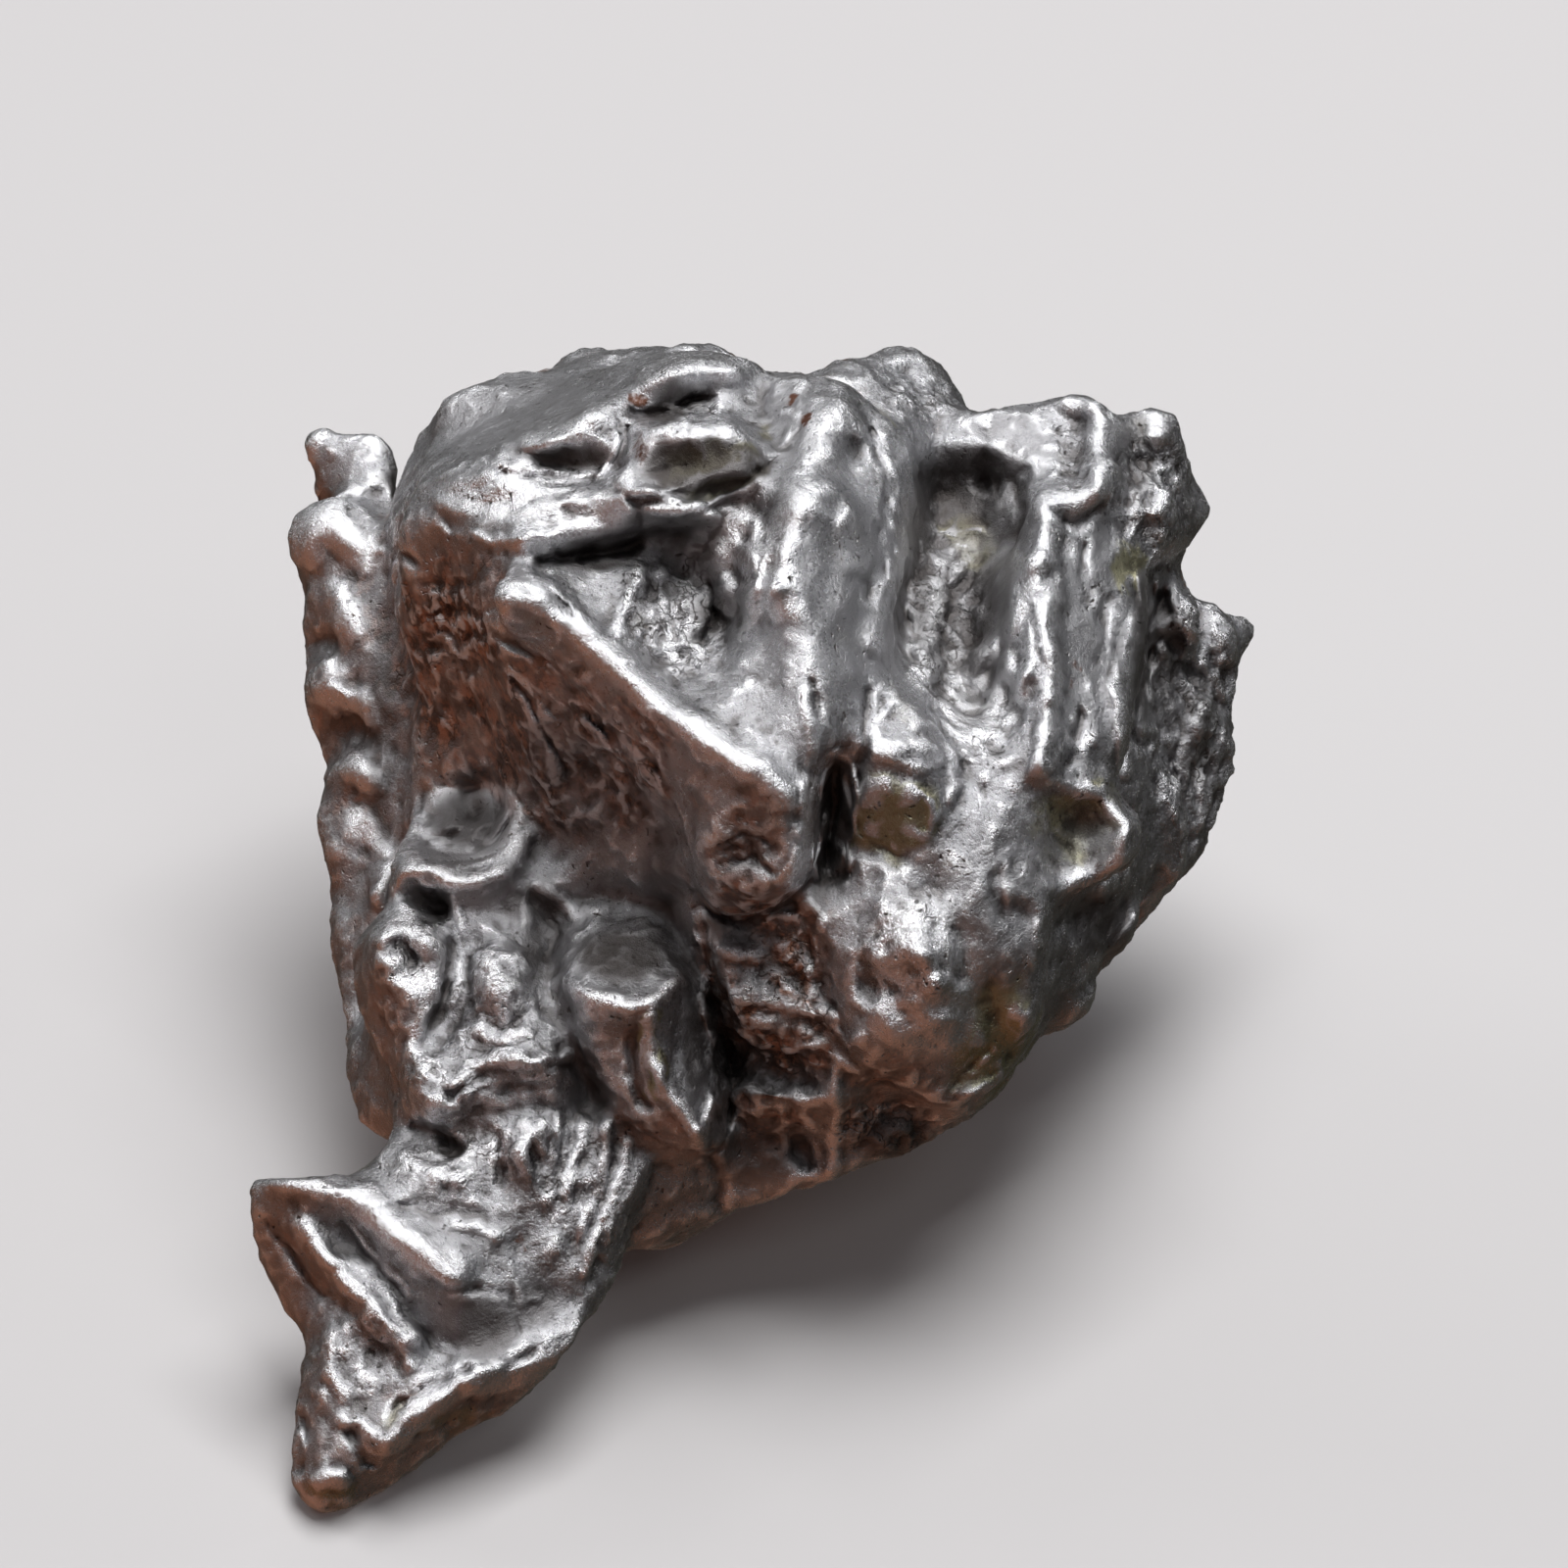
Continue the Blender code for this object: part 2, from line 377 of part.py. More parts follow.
        (-3.4, -7.6, 2.4), (-2.5, -8.6, 2.6), (-2.2, -9.8, 2.8), (-2.4, -12.4, 2.8), (-3.6, -11.4, 2.4),
        (-3.6, -9.0, 2.0), (-3, -10, -1),
    ],
    "crease_belly": [
        (-3.0, -8.6, 2.6), (2.4, -9.8, 2.8), (2.4, -12.2, 1.2), (-1.8, -11.6, 1.4), (-3.4, -13.6, 0.4),
        (-2.0, -14.4, -0.6), (1.6, -13.8, -0.4),
        (-3, -10, -4), (2, -12, -5),
    ],
    "crease_jaw": [
        (-9.6, 0.4, -0.8), (-8.6, -2.4, -0.2), (-3.0, -3.6, 3.2), (-3.4, -5.4, 2.4), (-7.8, -3.8, 0.8),
        (-5.4, -5.2, 1.2), (-3, -1, 3),
        (-9, -1, -6), (-3, -5, -4),
    ],
    "crease_knuckle": [
        (-4.6, -4.8, 1.2), (-2.4, -4.8, 2.4), (-2.6, -8.6, 2.2), (-4.2, -9.0, 1.4), (-1.6, -12.6, 0.8),
        (-4.4, -13.4, 0.2), (-3, -5, -5),
        (-2, -12, -5), (-5, -13, -4),
    ],
    "crease_bulge": [
        (9.0, -4.4, 0.8), (12.2, -4.8, -5.0), (12.8, 0.0, -4.5), (13.2, 4.0, -6.0), (12.4, 6.8, -5.5),
        (9.6, -8.6, -3.0), (9.4, -7.0, -0.6), (9, -5, -8),
        (12, 3, -10), (13.6, -3.0, -8.0), (11, -6, -9),
    ],
    "crease_tail": [
        (-17.4, -16.4, 2.6), (-13.0, -16.6, 4.6), (-11.5, -19.5, 4.6), (-15.8, -20.8, 4.2),
        (-17.2, -19.6, 2.0), (-14.5, -18.5, 0.4),
        (-13, -18, 0.6), (-15.6, -17.6, 3.9),
    ],
    "crease_cup": [
        (-13.8, -3.4, -0.8), (-9.2, -2.6, -0.8), (-14.0, -5.6, 0.2), (-9.2, -5.8, 1.0), (-13, -4, -5),
        (-10, -4, -5), (-11.6, -4.8, 0.8),
    ],
    "crease_nose": [
        (1.0, 1.4, 6.4), (3.2, 1.6, 5.2), (0.5, -3.4, 4.8), (3.0, -3.8, 4.0), (2.4, 3.0, 5.2),
        (1, -2, 0), (3, -2, 0), (2, 2, 0),
    ],
    "crease_column": [
        (3.2, 4.8, 3.4), (4.6, 3.8, 2.4), (6.8, 1.2, 3.0), (3.8, 2.0, 4.4), (3.9, 6.4, 0.6), (4, 3, -2),
        (6, 2, -2), (5.0, 5.4, -0.6), (5.2, 0.6, 4.2),
        (7.0, 0.4, 3.8), (4.0, 1.0, 4.8),
    ],
    "crease_lobe": [
        (-14.6, 9.4, -8.0), (-14.6, 4.5, -8.5), (-14.3, 0.0, -8.0), (-12.8, -3.0, -4), (-12, 9, -4),
        (-12, 2, -5), (-13, 3, -10), (-13, 9, -10),
    ],
    "crease_shoulder": [
        (4.4, 12.4, -4.6), (6.6, 12.4, -6.0), (7.0, 9.4, -6.2), (4.8, 8.6, -4.6), (5, 12, -9), (7, 10, -9),
    ],
    "crease_beam": [
        (-10.0, 8.4, 4.0), (-9.9, 6.4, 4.2), (-8.4, 7.4, 4.4), (-5.0, 9.0, 3.6), (-8, 5.6, 4.6),
        (-9, 8, 0), (-6, 8, 0),
    ],
}

# Round knobs on the lumps: (across, up, depth, radius).
KNOBS = [
    # The lobes behind, on the left and on the right.
    (-16.2, 8.8, -10.4, 1.4), (-16.0, 6.4, -10.0, 1.3), (-15.7, 3.8, -8.8, 1.4),
    (-15.4, 0.4, -7.8, 1.2), (-15.2, -2.4, -7.2, 1.2),
    (-15.0, -5.6, -6.0, 1.1), (-14.9, -9.6, -4.4, 1.1), (-16.3, 12.0, -13.4, 1.3),
    (-15.0, 12.0, -12.8, 1.0),
    (13.9, 5.8, -8.6, 1.3), (14.4, 2.4, -9.6, 1.2), (13.4, -0.8, -7.8, 1.3), (13.6, -2.6, -8.6, 1.2),
    (11.6, -5.0, -6.4, 1.3),
    (15.2, 5.2, -11.8, 1.4), (15.2, 1.6, -11.6, 1.0), (10.2, -7.6, -4.4, 1.1),
    # The block at the upper left.
    (-9.2, 6.6, 6.0, 1.4), (-1.1, -1.9, 6.8, 2.2), (-3.6, 14.3, -0.2, 1.1), (-1.9, 14.5, 0.0, 0.9),
    (-6.6, 13.1, 1.6, 0.9),
    (-5.4, 12.4, 3.0, 0.9), (-1.6, 11.8, 4.0, 1.0), (1.6, 12.8, 1.6, 1.2), (1.2, 9.6, 4.4, 1.5),
    (0.9, 6.4, 5.4, 1.6), (1.2, 3.6, 5.8, 1.6),
    # The shoulder, the bulge and the ear.
    (10.6, 13.2, -4.0, 0.9), (13.4, 12.7, -6.0, 1.2), (7.2, 12.8, -4.6, 0.8), (11.4, 11.0, -1.9, 0.8),
    (9.3, 8.6, -0.4, 0.8),
    (4.2, 14.6, -7.2, 1.3), (12.7, 9.6, -4.0, 1.5), (11.4, 5.4, -1.6, 1.6), (11.2, 2.4, 0.0, 1.5),
    (3.9, 2.2, 4.9, 1.0),
    (11.5, -2.0, 0.5, 1.4), (4.4, -6.0, 3.6, 2.6), (4.0, -8.2, 3.8, 1.5), (7.0, -4.2, 2.6, 2.6),
    (6.8, -7.6, 1.6, 2.4),
    # The tongue.
    (-13.4, -6.3, 1.2, 1.7), (-10.1, -7.1, 2.0, 1.5), (-9.0, -9.7, 2.8, 1.3), (-12.4, -10.6, 2.8, 1.2),
    (-11.2, -4.8, 0.6, 0.9),
    (-18.3, -14.9, 2.4, 1.0), (-16.5, -25.3, 4.0, 1.0), (-9.2, -13.0, 3.2, 1.0),
    (-12.6, -13.9, 3.4, 1.3), (-15.0, -20.4, 4.2, 1.3),
    (-12.8, -17.0, 4.4, 1.0), (-11.3, -21.1, 4.6, 0.8),
]

# Ridges and hollows worked into the surface that the eye sees. Each has its height
# (below zero for a hollow), its half width, and its path of (across, up).
MARKS = [
    # Hollows of the block at the upper left.
    (-1.6, 2.3, [(-3.2, 7.6), (-3.0, 6.0), (-3.4, 4.6)]),
    (-1.3, 0.8, [(-9.0, 7.8), (-6.6, 8.2), (-4.6, 8.9)]),
    (-1.0, 0.8, [(-6.0, 13.2), (-4.6, 13.6), (-3.0, 13.4)]),
    (-0.8, 0.8, [(-9.4, 11.3), (-6.6, 11.0), (-5.9, 12.4)]),
    (-0.8, 0.8, [(-10.2, 8.6), (-8.6, 8.9), (-6.4, 9.6)]),
    (-1.0, 0.9, [(-0.9, 14.2), (-0.8, 12.6), (-0.4, 11.4)]),
    (-0.8, 1.6, [(-12.3, 7.6), (-11.9, 5.4), (-11.2, 3.4)]),
    (-1.2, 1.2, [(-6.8, 0.6), (-5.4, -0.6), (-4.4, -1.8)]),
    (-0.8, 1.4, [(-1.6, -2.7), (-1.3, -2.5)]),
    (-2.4, 0.9, [(1.9, 0.5), (1.8, -1.0), (1.6, -3.0)]),
    # Hollows of the shoulder and the bulge.
    (-1.4, 1.8, [(6.2, 10.2), (6.2, 8.0), (6.4, 5.6), (6.9, 3.4)]),
    (-1.2, 1.0, [(5.2, 12.6), (5.3, 9.4), (4.6, 6.6), (4.3, 4.4)]),
    (-0.9, 1.0, [(10.4, 12.8), (10.3, 11.2)]),
    (-0.9, 0.8, [(8.4, -4.6), (10.2, -4.8), (11.2, -4.2)]),
    (-0.8, 0.9, [(9.9, -3.0), (10.4, -1.4), (11.2, -1.2)]),
    (-0.7, 0.9, [(5.2, -3.6), (6.2, -5.4), (7.0, -7.6), (8.2, -9.6)]),
    (-0.7, 0.9, [(3.6, -7.2), (4.2, -7.5)]),
    (-0.8, 1.0, [(3.4, -11.2), (5.0, -11.8)]),
    # Hollows below the nose.
    (-1.3, 1.1, [(-1.8, -9.4), (0.6, -10.4)]),
    (-0.8, 0.9, [(-3.0, -13.4), (-1.2, -12.6), (1.0, -13.0)]),
    (-1.5, 0.7, [(-4.0, -5.2), (-2.9, -7.0), (-2.0, -9.2), (-1.8, -11.8)]),
    (-1.0, 1.0, [(-8.2, -4.6), (-6.6, -4.0), (-4.6, -4.4)]),
    # Hollows of the tongue.
    (-2.2, 1.8, [(-12.1, -1.3), (-10.9, -1.0)]),
    (-1.2, 0.6, [(-12.6, -4.5), (-12.2, -4.7)]),
    (-0.6, 0.6, [(-13.2, -6.1), (-13.2, -6.4)]),
    (-1.0, 0.8, [(-11.6, -5.8), (-11.6, -7.6), (-12.4, -9.2)]),
    (-0.9, 0.9, [(-8.6, -5.6), (-8.3, -7.6), (-7.4, -9.8), (-6.8, -11.4)]),
    (-1.2, 0.9, [(-13.8, -12.4), (-12.1, -13.0)]),
    (-0.9, 0.7, [(-16.2, -16.0), (-14.2, -18.1), (-11.9, -20.6)]),
    (-0.8, 0.7, [(-18.0, -16.2), (-16.8, -18.0), (-15.6, -18.9)]),
    (-0.7, 0.8, [(-15.1, -20.3), (-14.7, -20.6)]),
    # Ridges of the block at the upper left.
    (0.8, 0.9, [(-9.6, 6.6), (-8.4, 6.2), (-6.6, 4.9), (-5.0, 3.3), (-3.4, 1.9), (-1.6, 0.8), (0.2, -0.4)]),
    (0.7, 1.3, [(1.6, 13.0), (0.6, 9.8), (0.3, 7.0), (0.7, 4.4), (0.9, 2.0)]),
    (0.6, 0.8, [(-10.4, 6.6), (-10.1, 4.4), (-8.8, 1.4), (-8.2, -0.8)]),
    (0.6, 0.8, [(-12.2, 10.0), (-9.9, 9.0), (-8.6, 9.5), (-6.4, 10.3), (-3.0, 10.0)]),
    (0.6, 0.8, [(-12.9, 11.0), (-9.6, 12.1), (-6.2, 13.3), (-3.4, 15.0)]),
    (0.5, 0.7, [(-5.8, 11.0), (-4.6, 10.2), (-2.6, 10.7), (-0.6, 11.3)]),
    # Ridges of the shoulder and the bulge.
    (0.9, 0.9, [(11.5, 13.4), (11.5, 12.2), (11.2, 10.4), (9.2, 10.1), (9.2, 8.8), (9.0, 7.6),
    (9.2, 5.4), (9.2, 3.2), (9.3, 0.8)]),
    (0.4, 0.7, [(4.4, 2.8), (5.4, 1.4), (3.4, 1.1)]),
    (0.8, 0.8, [(9.6, 0.2), (11.3, -0.3), (12.2, -1.6), (12.1, -3.0), (11.3, -3.8), (10.4, -3.5),
    (9.4, -4.5)]),
    (0.5, 0.7, [(2.8, -9.2), (4.6, -10.8), (6.4, -11.4), (8.2, -9.9), (9.2, -7.2), (9.2, -4.8)]),
    # Ridges below the nose.
    (0.5, 0.7, [(-2.0, -11.0), (-0.2, -11.1), (2.0, -11.4)]),
    (0.6, 0.8, [(-4.6, -16.2), (-1.0, -15.0), (1.8, -14.1), (4.0, -12.9)]),
    (0.5, 0.8, [(-2.6, -4.8), (-2.0, -6.4), (-1.0, -8.4)]),
    (0.5, 0.8, [(1.6, -4.8), (2.1, -6.8), (2.4, -8.8)]),
    (0.6, 0.8, [(-6.9, -8.8), (-6.2, -10.8), (-4.6, -12.2), (-2.4, -13.2)]),
    (0.5, 0.7, [(-4.4, -8.4), (-4.8, -9.8), (-4.0, -11.2), (-2.4, -12.8)]),
    (0.7, 0.7, [(-7.7, -7.2), (-6.6, -8.0), (-5.2, -8.1), (-4.2, -7.4)]),
    # Ridges of the tongue.
    (1.1, 0.8, [(-14.5, -4.0), (-14.1, -3.2), (-13.2, -2.9), (-12.0, -3.5), (-10.5, -3.5), (-9.7, -2.6),
    (-9.4, -1.4), (-9.6, -0.2)]),
    (0.5, 0.8, [(-14.4, -5.6), (-14.5, -7.4), (-13.2, -8.4), (-12.2, -7.2), (-12.4, -5.6)]),
    (0.8, 0.7, [(-13.2, -10.4), (-12.4, -11.7), (-11.3, -10.9), (-10.4, -10.1), (-9.4, -9.9),
    (-7.6, -11.0)]),
    (0.8, 0.8, [(-18.6, -14.0), (-17.1, -14.4), (-15.0, -14.6), (-13.6, -16.2), (-11.8, -17.8)]),
    (0.7, 0.7, [(-17.6, -16.2), (-16.2, -17.5), (-14.5, -18.9), (-13.4, -20.0)]),
    (0.6, 0.7, [(-8.4, -12.3), (-9.5, -12.6), (-9.4, -13.6), (-8.6, -14.6)]),
    (0.7, 0.8, [(-14.6, -23.7), (-13.2, -22.5), (-11.3, -21.1), (-9.5, -20.5), (-7.2, -19.4)]),
    (0.6, 0.6, [(-6.5, -12.0), (-7.2, -14.5), (-8.4, -16.8)]),
    (0.6, 0.6, [(-5.2, -13.6), (-6.2, -15.4), (-7.4, -17.4)]),
]


def apparent_to_real(across, up, depth):
    """The real place of a point that the eye sees at (across, up) on the plane of depth 0."""
    share = (EYE_DISTANCE - depth) / EYE_DISTANCE
    return Vector((across * share, up * share, depth))


def real_to_apparent(places):
    """Where the eye sees an array of real places, as (across, up) on the plane of depth 0."""
    share = (EYE_DISTANCE - places[:, 2:3]) / EYE_DISTANCE
    return places[:, :2] / share


def hull_faces(corners):
    """The triangles of the convex hull of the corners, always in the same order."""
    work = bmesh.new()
    for corner in corners:
        work.verts.new(corner)
    work.verts.index_update()
    made = bmesh.ops.convex_hull(work, input=work.verts[:])
    faces = [[vert.index for vert in item.verts] for item in made["geom"] if isinstance(item, bmesh.types.BMFace)]
    work.free()
    turned = [tuple(face[face.index(min(face)) :] + face[: face.index(min(face))]) for face in faces]
    return sorted(turned)


def clay_mesh():
    """All the lumps and knobs in one mesh, still overlapping."""
    places = []
    faces = []
    for corners in LUMPS.values():
        hull = [apparent_to_real(*corner) for corner in corners]
        faces += [[index + len(places) for index in face] for face in hull_faces(hull)]
        places += hull
    ball = bmesh.new()
    bmesh.ops.create_icosphere(ball, subdivisions=2, radius=1.0)
    ball_places = [vert.co.copy() for vert in ball.verts]
    ball_faces = [[vert.index for vert in face.verts] for face in ball.faces]
    ball.free()
    for across, up, depth, radius in KNOBS:
        middle = apparent_to_real(across, up, depth)
        faces += [[index + len(places) for index in face] for face in ball_faces]
        places += [middle + radius * place for place in ball_places]
    mesh = bpy.data.meshes.new("clay")
    mesh.from_pydata(places, [], faces)
    return mesh


def evaluated_mesh(obj):
    """The object's mesh with its modifiers applied."""
    graph = bpy.context.evaluated_depsgraph_get()
    return bpy.data.meshes.new_from_object(obj.evaluated_get(graph))


def add_modifier(obj, name, kind, **settings):
    modifier = obj.modifiers.new(name, kind)
    for setting, value in settings.items():
        setattr(modifier, setting, value)


def settle(obj):
    """Keeps what the object's modifiers make, and takes them off."""
    made = evaluated_mesh(obj)
    obj.modifiers.clear()
    spare = obj.data
    obj.data = made
    bpy.data.meshes.remove(spare)


def places_of(mesh):
    flat = np.empty(len(mesh.vertices) * 3)
    mesh.vertices.foreach_get("co", flat)
    return flat.reshape(-1, 3)


def put_places(mesh, places):
    mesh.vertices.foreach_set("co", places.ravel())
    mesh.update()


def gathered(values, onto, count):
    """Adds up the values of each index, in a fixed order."""
    columns = values.reshape(len(values), -1).T
    return np.stack([np.bincount(onto, column, count) for column in columns], axis=1)


def softened(mesh, values, rounds, share=0.5):
    """Moves each vertex's value part of the way to the mean of its neighbours, some times over."""
    edges = np.empty(len(mesh.edges) * 2, dtype=int)
    mesh.edges.foreach_get("vertices", edges)
    first, second = edges.reshape(-1, 2).T
    start = np.concatenate([first, second])
    stop = np.concatenate([second, first])
    count = np.bincount(start, minlength=len(values))[:, None]
    for _ in range(rounds):
        mean = gathered(values[stop], start, len(values)) / count
        values = values + share * (mean - values)
    return values


def round_off(mesh, rounds):
    put_places(mesh, softened(mesh, places_of(mesh), rounds))


def outward(mesh, places):
    """Unit normals of the vertices of a mesh of quads."""
    corners = np.empty(len(mesh.loops), dtype=int)
    mesh.loops.foreach_get("vertex_index", corners)
    corners = corners.reshape(-1, 4)
    first, second, third, fourth = (places[corners[:, column]] for column in range(4))
    facing = np.cross(third - first, fourth - second)
    total = gathered(np.repeat(facing, 4, axis=0), corners.ravel(), len(places))
    return total / np.linalg.norm(total, axis=1)[:, None]


def seen_share(mesh, places, rounds=3):
    """1 for each vertex that the eye sees and 0 for a hidden one, softened along the edges."""
    tree = BVHTree.FromPolygons(places.tolist(), [face.vertices[:] for face in mesh.polygons])
    eye = Vector((0, 0, EYE_DISTANCE))
    share = np.zeros((len(places), 1))
    for index, place in enumerate(places.tolist()):
        place = Vector(place)
        towards = (eye - place).normalized()
        hit = tree.ray_cast(place + 0.25 * towards, towards)
        share[index] = hit[0] is None
    return softened(mesh, share, rounds, 0.8)


def path_distance(seen_at, path):
    """How far each seen place lies from the path."""
    nearest = np.full(len(seen_at), 1e9)
    for start, stop in zip(path, path[1:]):
        start = np.array(start)
        along = np.array(stop) - start
        share = np.clip((seen_at - start) @ along / (along @ along), 0, 1)
        nearest = np.minimum(nearest, np.linalg.norm(seen_at - start - share[:, None] * along, axis=1))
    return nearest


def work_marks(mesh):
    """Raises the ridges and sinks the hollows on the side that the eye sees."""
    places = places_of(mesh)
    share = seen_share(mesh, places)
    seen_at = real_to_apparent(places)
    lift = np.zeros(len(places))
    for height, reach, path in MARKS:
        closeness = np.clip(1 - (path_distance(seen_at, path) / reach) ** 2, 0, 1)
        lift += height * closeness**1.5
    towards = np.array((0, 0, EYE_DISTANCE)) - places
    towards /= np.linalg.norm(towards, axis=1)[:, None]
    put_places(mesh, places + lift[:, None] * share * towards)


def work_back(mesh):
    """Presses thumb-print hollows and a finer swell into the side that the eye doesn't see."""
    places = places_of(mesh)
    hidden = np.clip(1.15 - 1.3 * seen_share(mesh, places, 8), 0, 1)
    lift = np.zeros(len(places))
    for index, place in enumerate(places.tolist()):
        if hidden[index] == 0:
            continue
        place = Vector(place)
        bend = [noise.noise((place + offset) / 4.0) for offset in BEND_OFFSETS]
        bent = place / CELL + 0.35 * Vector(bend)
        nearest = noise.voronoi(bent)[0][0]
        lift[index] = 0.35 * CELL_DEPTH - CELL_DEPTH * math.exp(-((nearest / 0.42) ** 2))
        lift[index] += 0.3 * noise.noise(place / 1.9) + 0.35 * noise.noise(place / 3.7)
    put_places(mesh, places + lift[:, None] * hidden * outward(mesh, places))


def join(obj):
    """Makes one skin of quads around all that overlaps."""
    add_modifier(obj, "joined", "REMESH", mode="VOXEL", voxel_size=VOXEL)
    settle(obj)


def swell(mesh, distance):
    places = places_of(mesh)
    put_places(mesh, places + distance * outward(mesh, places))


def keep_largest(obj):
    """Removes every shell but the one with the most vertices."""
    mesh = obj.data
    edges = np.empty(len(mesh.edges) * 2, dtype=int)
    mesh.edges.foreach_get("vertices", edges)
    first, second = edges.reshape(-1, 2).T
    shell = np.arange(len(mesh.vertices))
    while True:
        lowest = shell.copy()
        np.minimum.at(lowest, first, shell[second])
        np.minimum.at(lowest, second, shell[first])
        lowest = lowest[lowest]
        if (lowest == shell).all():
            break
        shell = lowest
    kept = shell == np.bincount(shell).argmax()
    number = np.cumsum(kept) - 1
    faces = [[int(number[index]) for index in face.vertices] for face in mesh.polygons if kept[face.vertices[0]]]
    whole = bpy.data.meshes.new("whole")
    whole.from_pydata(places_of(mesh)[kept].tolist(), [], faces)
    obj.data = whole
    bpy.data.meshes.remove(mesh)


def tip_back(mesh):
    """Turns the piece from the way the eye sees it to the way it rests."""
    tilt = math.radians(TILT_DEGREES)
    across, up, depth = places_of(mesh).T
    behind = up * math.sin(tilt) - depth * math.cos(tilt)
    height = up * math.cos(tilt) + depth * math.sin(tilt)
    put_places(mesh, np.stack([across, behind, height], axis=1))


def wear_feet(mesh):
    """Wears the tail tip and the two bosses flat, level with each other."""
    places = places_of(mesh)
    across, behind, height = places.T
    tail = behind < -12
    left = (behind > 0) & (across < -2)
    right = (behind > 0) & (across > 2)
    level = max(height[foot].min() for foot in (tail, left, right)) + FLAT_CUT
    work = bmesh.new()
    work.from_mesh(mesh)
    geometry = work.verts[:] + work.edges[:] + work.faces[:]
    bmesh.ops.bisect_plane(work, geom=geometry, plane_co=(0, 0, level), plane_no=(0, 0, -1), clear_outer=True)
    rims = [edge for edge in work.edges if edge.is_boundary]
    bmesh.ops.holes_fill(work, edges=rims)
    bmesh.ops.triangulate(work, faces=work.faces[:])
    bmesh.ops.dissolve_degenerate(work, edges=work.edges[:], dist=0.01)
    bmesh.ops.triangulate(work, faces=work.faces[:])
    bmesh.ops.recalc_face_normals(work, faces=work.faces[:])
    work.to_mesh(mesh)
    work.free()


def set_on_origin(mesh):
    """Brings the middle of the foot of the box to the origin, and the piece to metres."""
    places = places_of(mesh)
    low = places.min(axis=0)
    high = places.max(axis=0)
    middle = np.array(((low[0] + high[0]) / 2, (low[1] + high[1]) / 2, low[2]))
    put_places(mesh, (places - middle) * METRES)
    return middle


def iron():
    """Grey nickel-iron, polished by handling on its ridges."""
    material = bpy.data.materials.new("meteoritic_iron")
    material.use_nodes = True
    shader = material.node_tree.nodes["Principled BSDF"]
    shader.inputs["Base Color"].default_value = (0.33, 0.32, 0.31, 1)
    shader.inputs["Metallic"].default_value = 1.0
    shader.inputs["Roughness"].default_value = 0.34
    material.diffuse_color = (0.33, 0.32, 0.31, 1)
    return material


def main():
    for obj in list(bpy.data.objects):
        bpy.data.objects.remove(obj)
    collection = bpy.data.collections.new("iron_meteorite")
    bpy.context.scene.collection.children.link(collection)
    piece = bpy.data.objects.new("meteorite", clay_mesh())
    collection.objects.link(piece)
    join(piece)
    swell(piece.data, GAP)
    join(piece)
    swell(piece.data, -GAP)
    join(piece)
    round_off(piece.data, ROUNDING_STEPS)
    work_marks(piece.data)
    work_back(piece.data)
    join(piece)
    round_off(piece.data, 3)
    keep_largest(piece)
    faces = sum(len(face.vertices) - 2 for face in piece.data.polygons)
    add_modifier(piece, "thinned", "DECIMATE", ratio=TRIANGLES / faces, use_collapse_triangulate=True)
    settle(piece)
    tip_back(piece.data)
    wear_feet(piece.data)
    middle = set_on_origin(piece.data)
    for face in piece.data.polygons:
        face.use_smooth = True
    piece.data.name = "meteorite"
    piece.data.materials.append(iron())
    print(f"meteorite: {len(piece.data.polygons)} triangles")
    print("the eye's own origin lies at", [round(-value, 3) for value in middle.tolist()], "mm")
    return piece


if __name__ == "__main__":
    main()
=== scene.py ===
# %% [markdown]
# An iron meteorite, from plain solid to finished metal
#
# The real thing is a lump of nickel-iron about 40 mm long, torn and hammered when its parent
# body broke up, then weathered in the ground, cleaned and polished by wear. It is one piece.
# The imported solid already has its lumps, ledges and hollows, in flat triangles about 1 mm wide.
# This file lays a fine skin over that solid, works the small marks into it, and gives it the
# finish of the metal. The solid itself stays as it is.

# %% Load the solid
import math

import bpy
import numpy as np
from mathutils import Matrix, Vector, kdtree, noise
from mathutils.bvhtree import BVHTree


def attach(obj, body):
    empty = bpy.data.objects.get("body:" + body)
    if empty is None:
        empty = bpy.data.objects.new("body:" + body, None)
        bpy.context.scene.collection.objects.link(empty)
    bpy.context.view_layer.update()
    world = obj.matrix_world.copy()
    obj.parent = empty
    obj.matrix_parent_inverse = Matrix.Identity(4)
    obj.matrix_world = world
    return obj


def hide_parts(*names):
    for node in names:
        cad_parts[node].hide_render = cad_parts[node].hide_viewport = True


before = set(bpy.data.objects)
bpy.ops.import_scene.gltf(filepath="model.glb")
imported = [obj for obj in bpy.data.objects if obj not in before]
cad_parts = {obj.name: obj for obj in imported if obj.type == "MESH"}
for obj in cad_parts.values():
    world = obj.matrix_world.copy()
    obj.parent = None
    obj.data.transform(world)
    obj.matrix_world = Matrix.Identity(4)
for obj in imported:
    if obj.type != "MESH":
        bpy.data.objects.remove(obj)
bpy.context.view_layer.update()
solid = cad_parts["meteorite"]

# %% [markdown]
# Where the eye is
#
# Every mark was read from in front of the broad face. So the marks are worked in the
# eye's own frame, in millimetres: across to the right, up, and depth towards the eye. Marks
# could also be placed in the resting frame, but then each would have to be turned singly.
# The eye looks 38 degrees down on the resting piece, from 250 mm away, which is close enough
# to show some perspective: a near point seems further out from the middle than it is.

# %% The eye's frame
MM = 0.001
EYE_DISTANCE = 250.0
TILT = math.radians(38.0)
EYE_MIDDLE = np.array((0.600, -1.401, 17.981))
TURN = np.array((
    (1, 0, 0),
    (0, math.sin(TILT), -math.cos(TILT)),
    (0, math.cos(TILT), math.sin(TILT)),
))


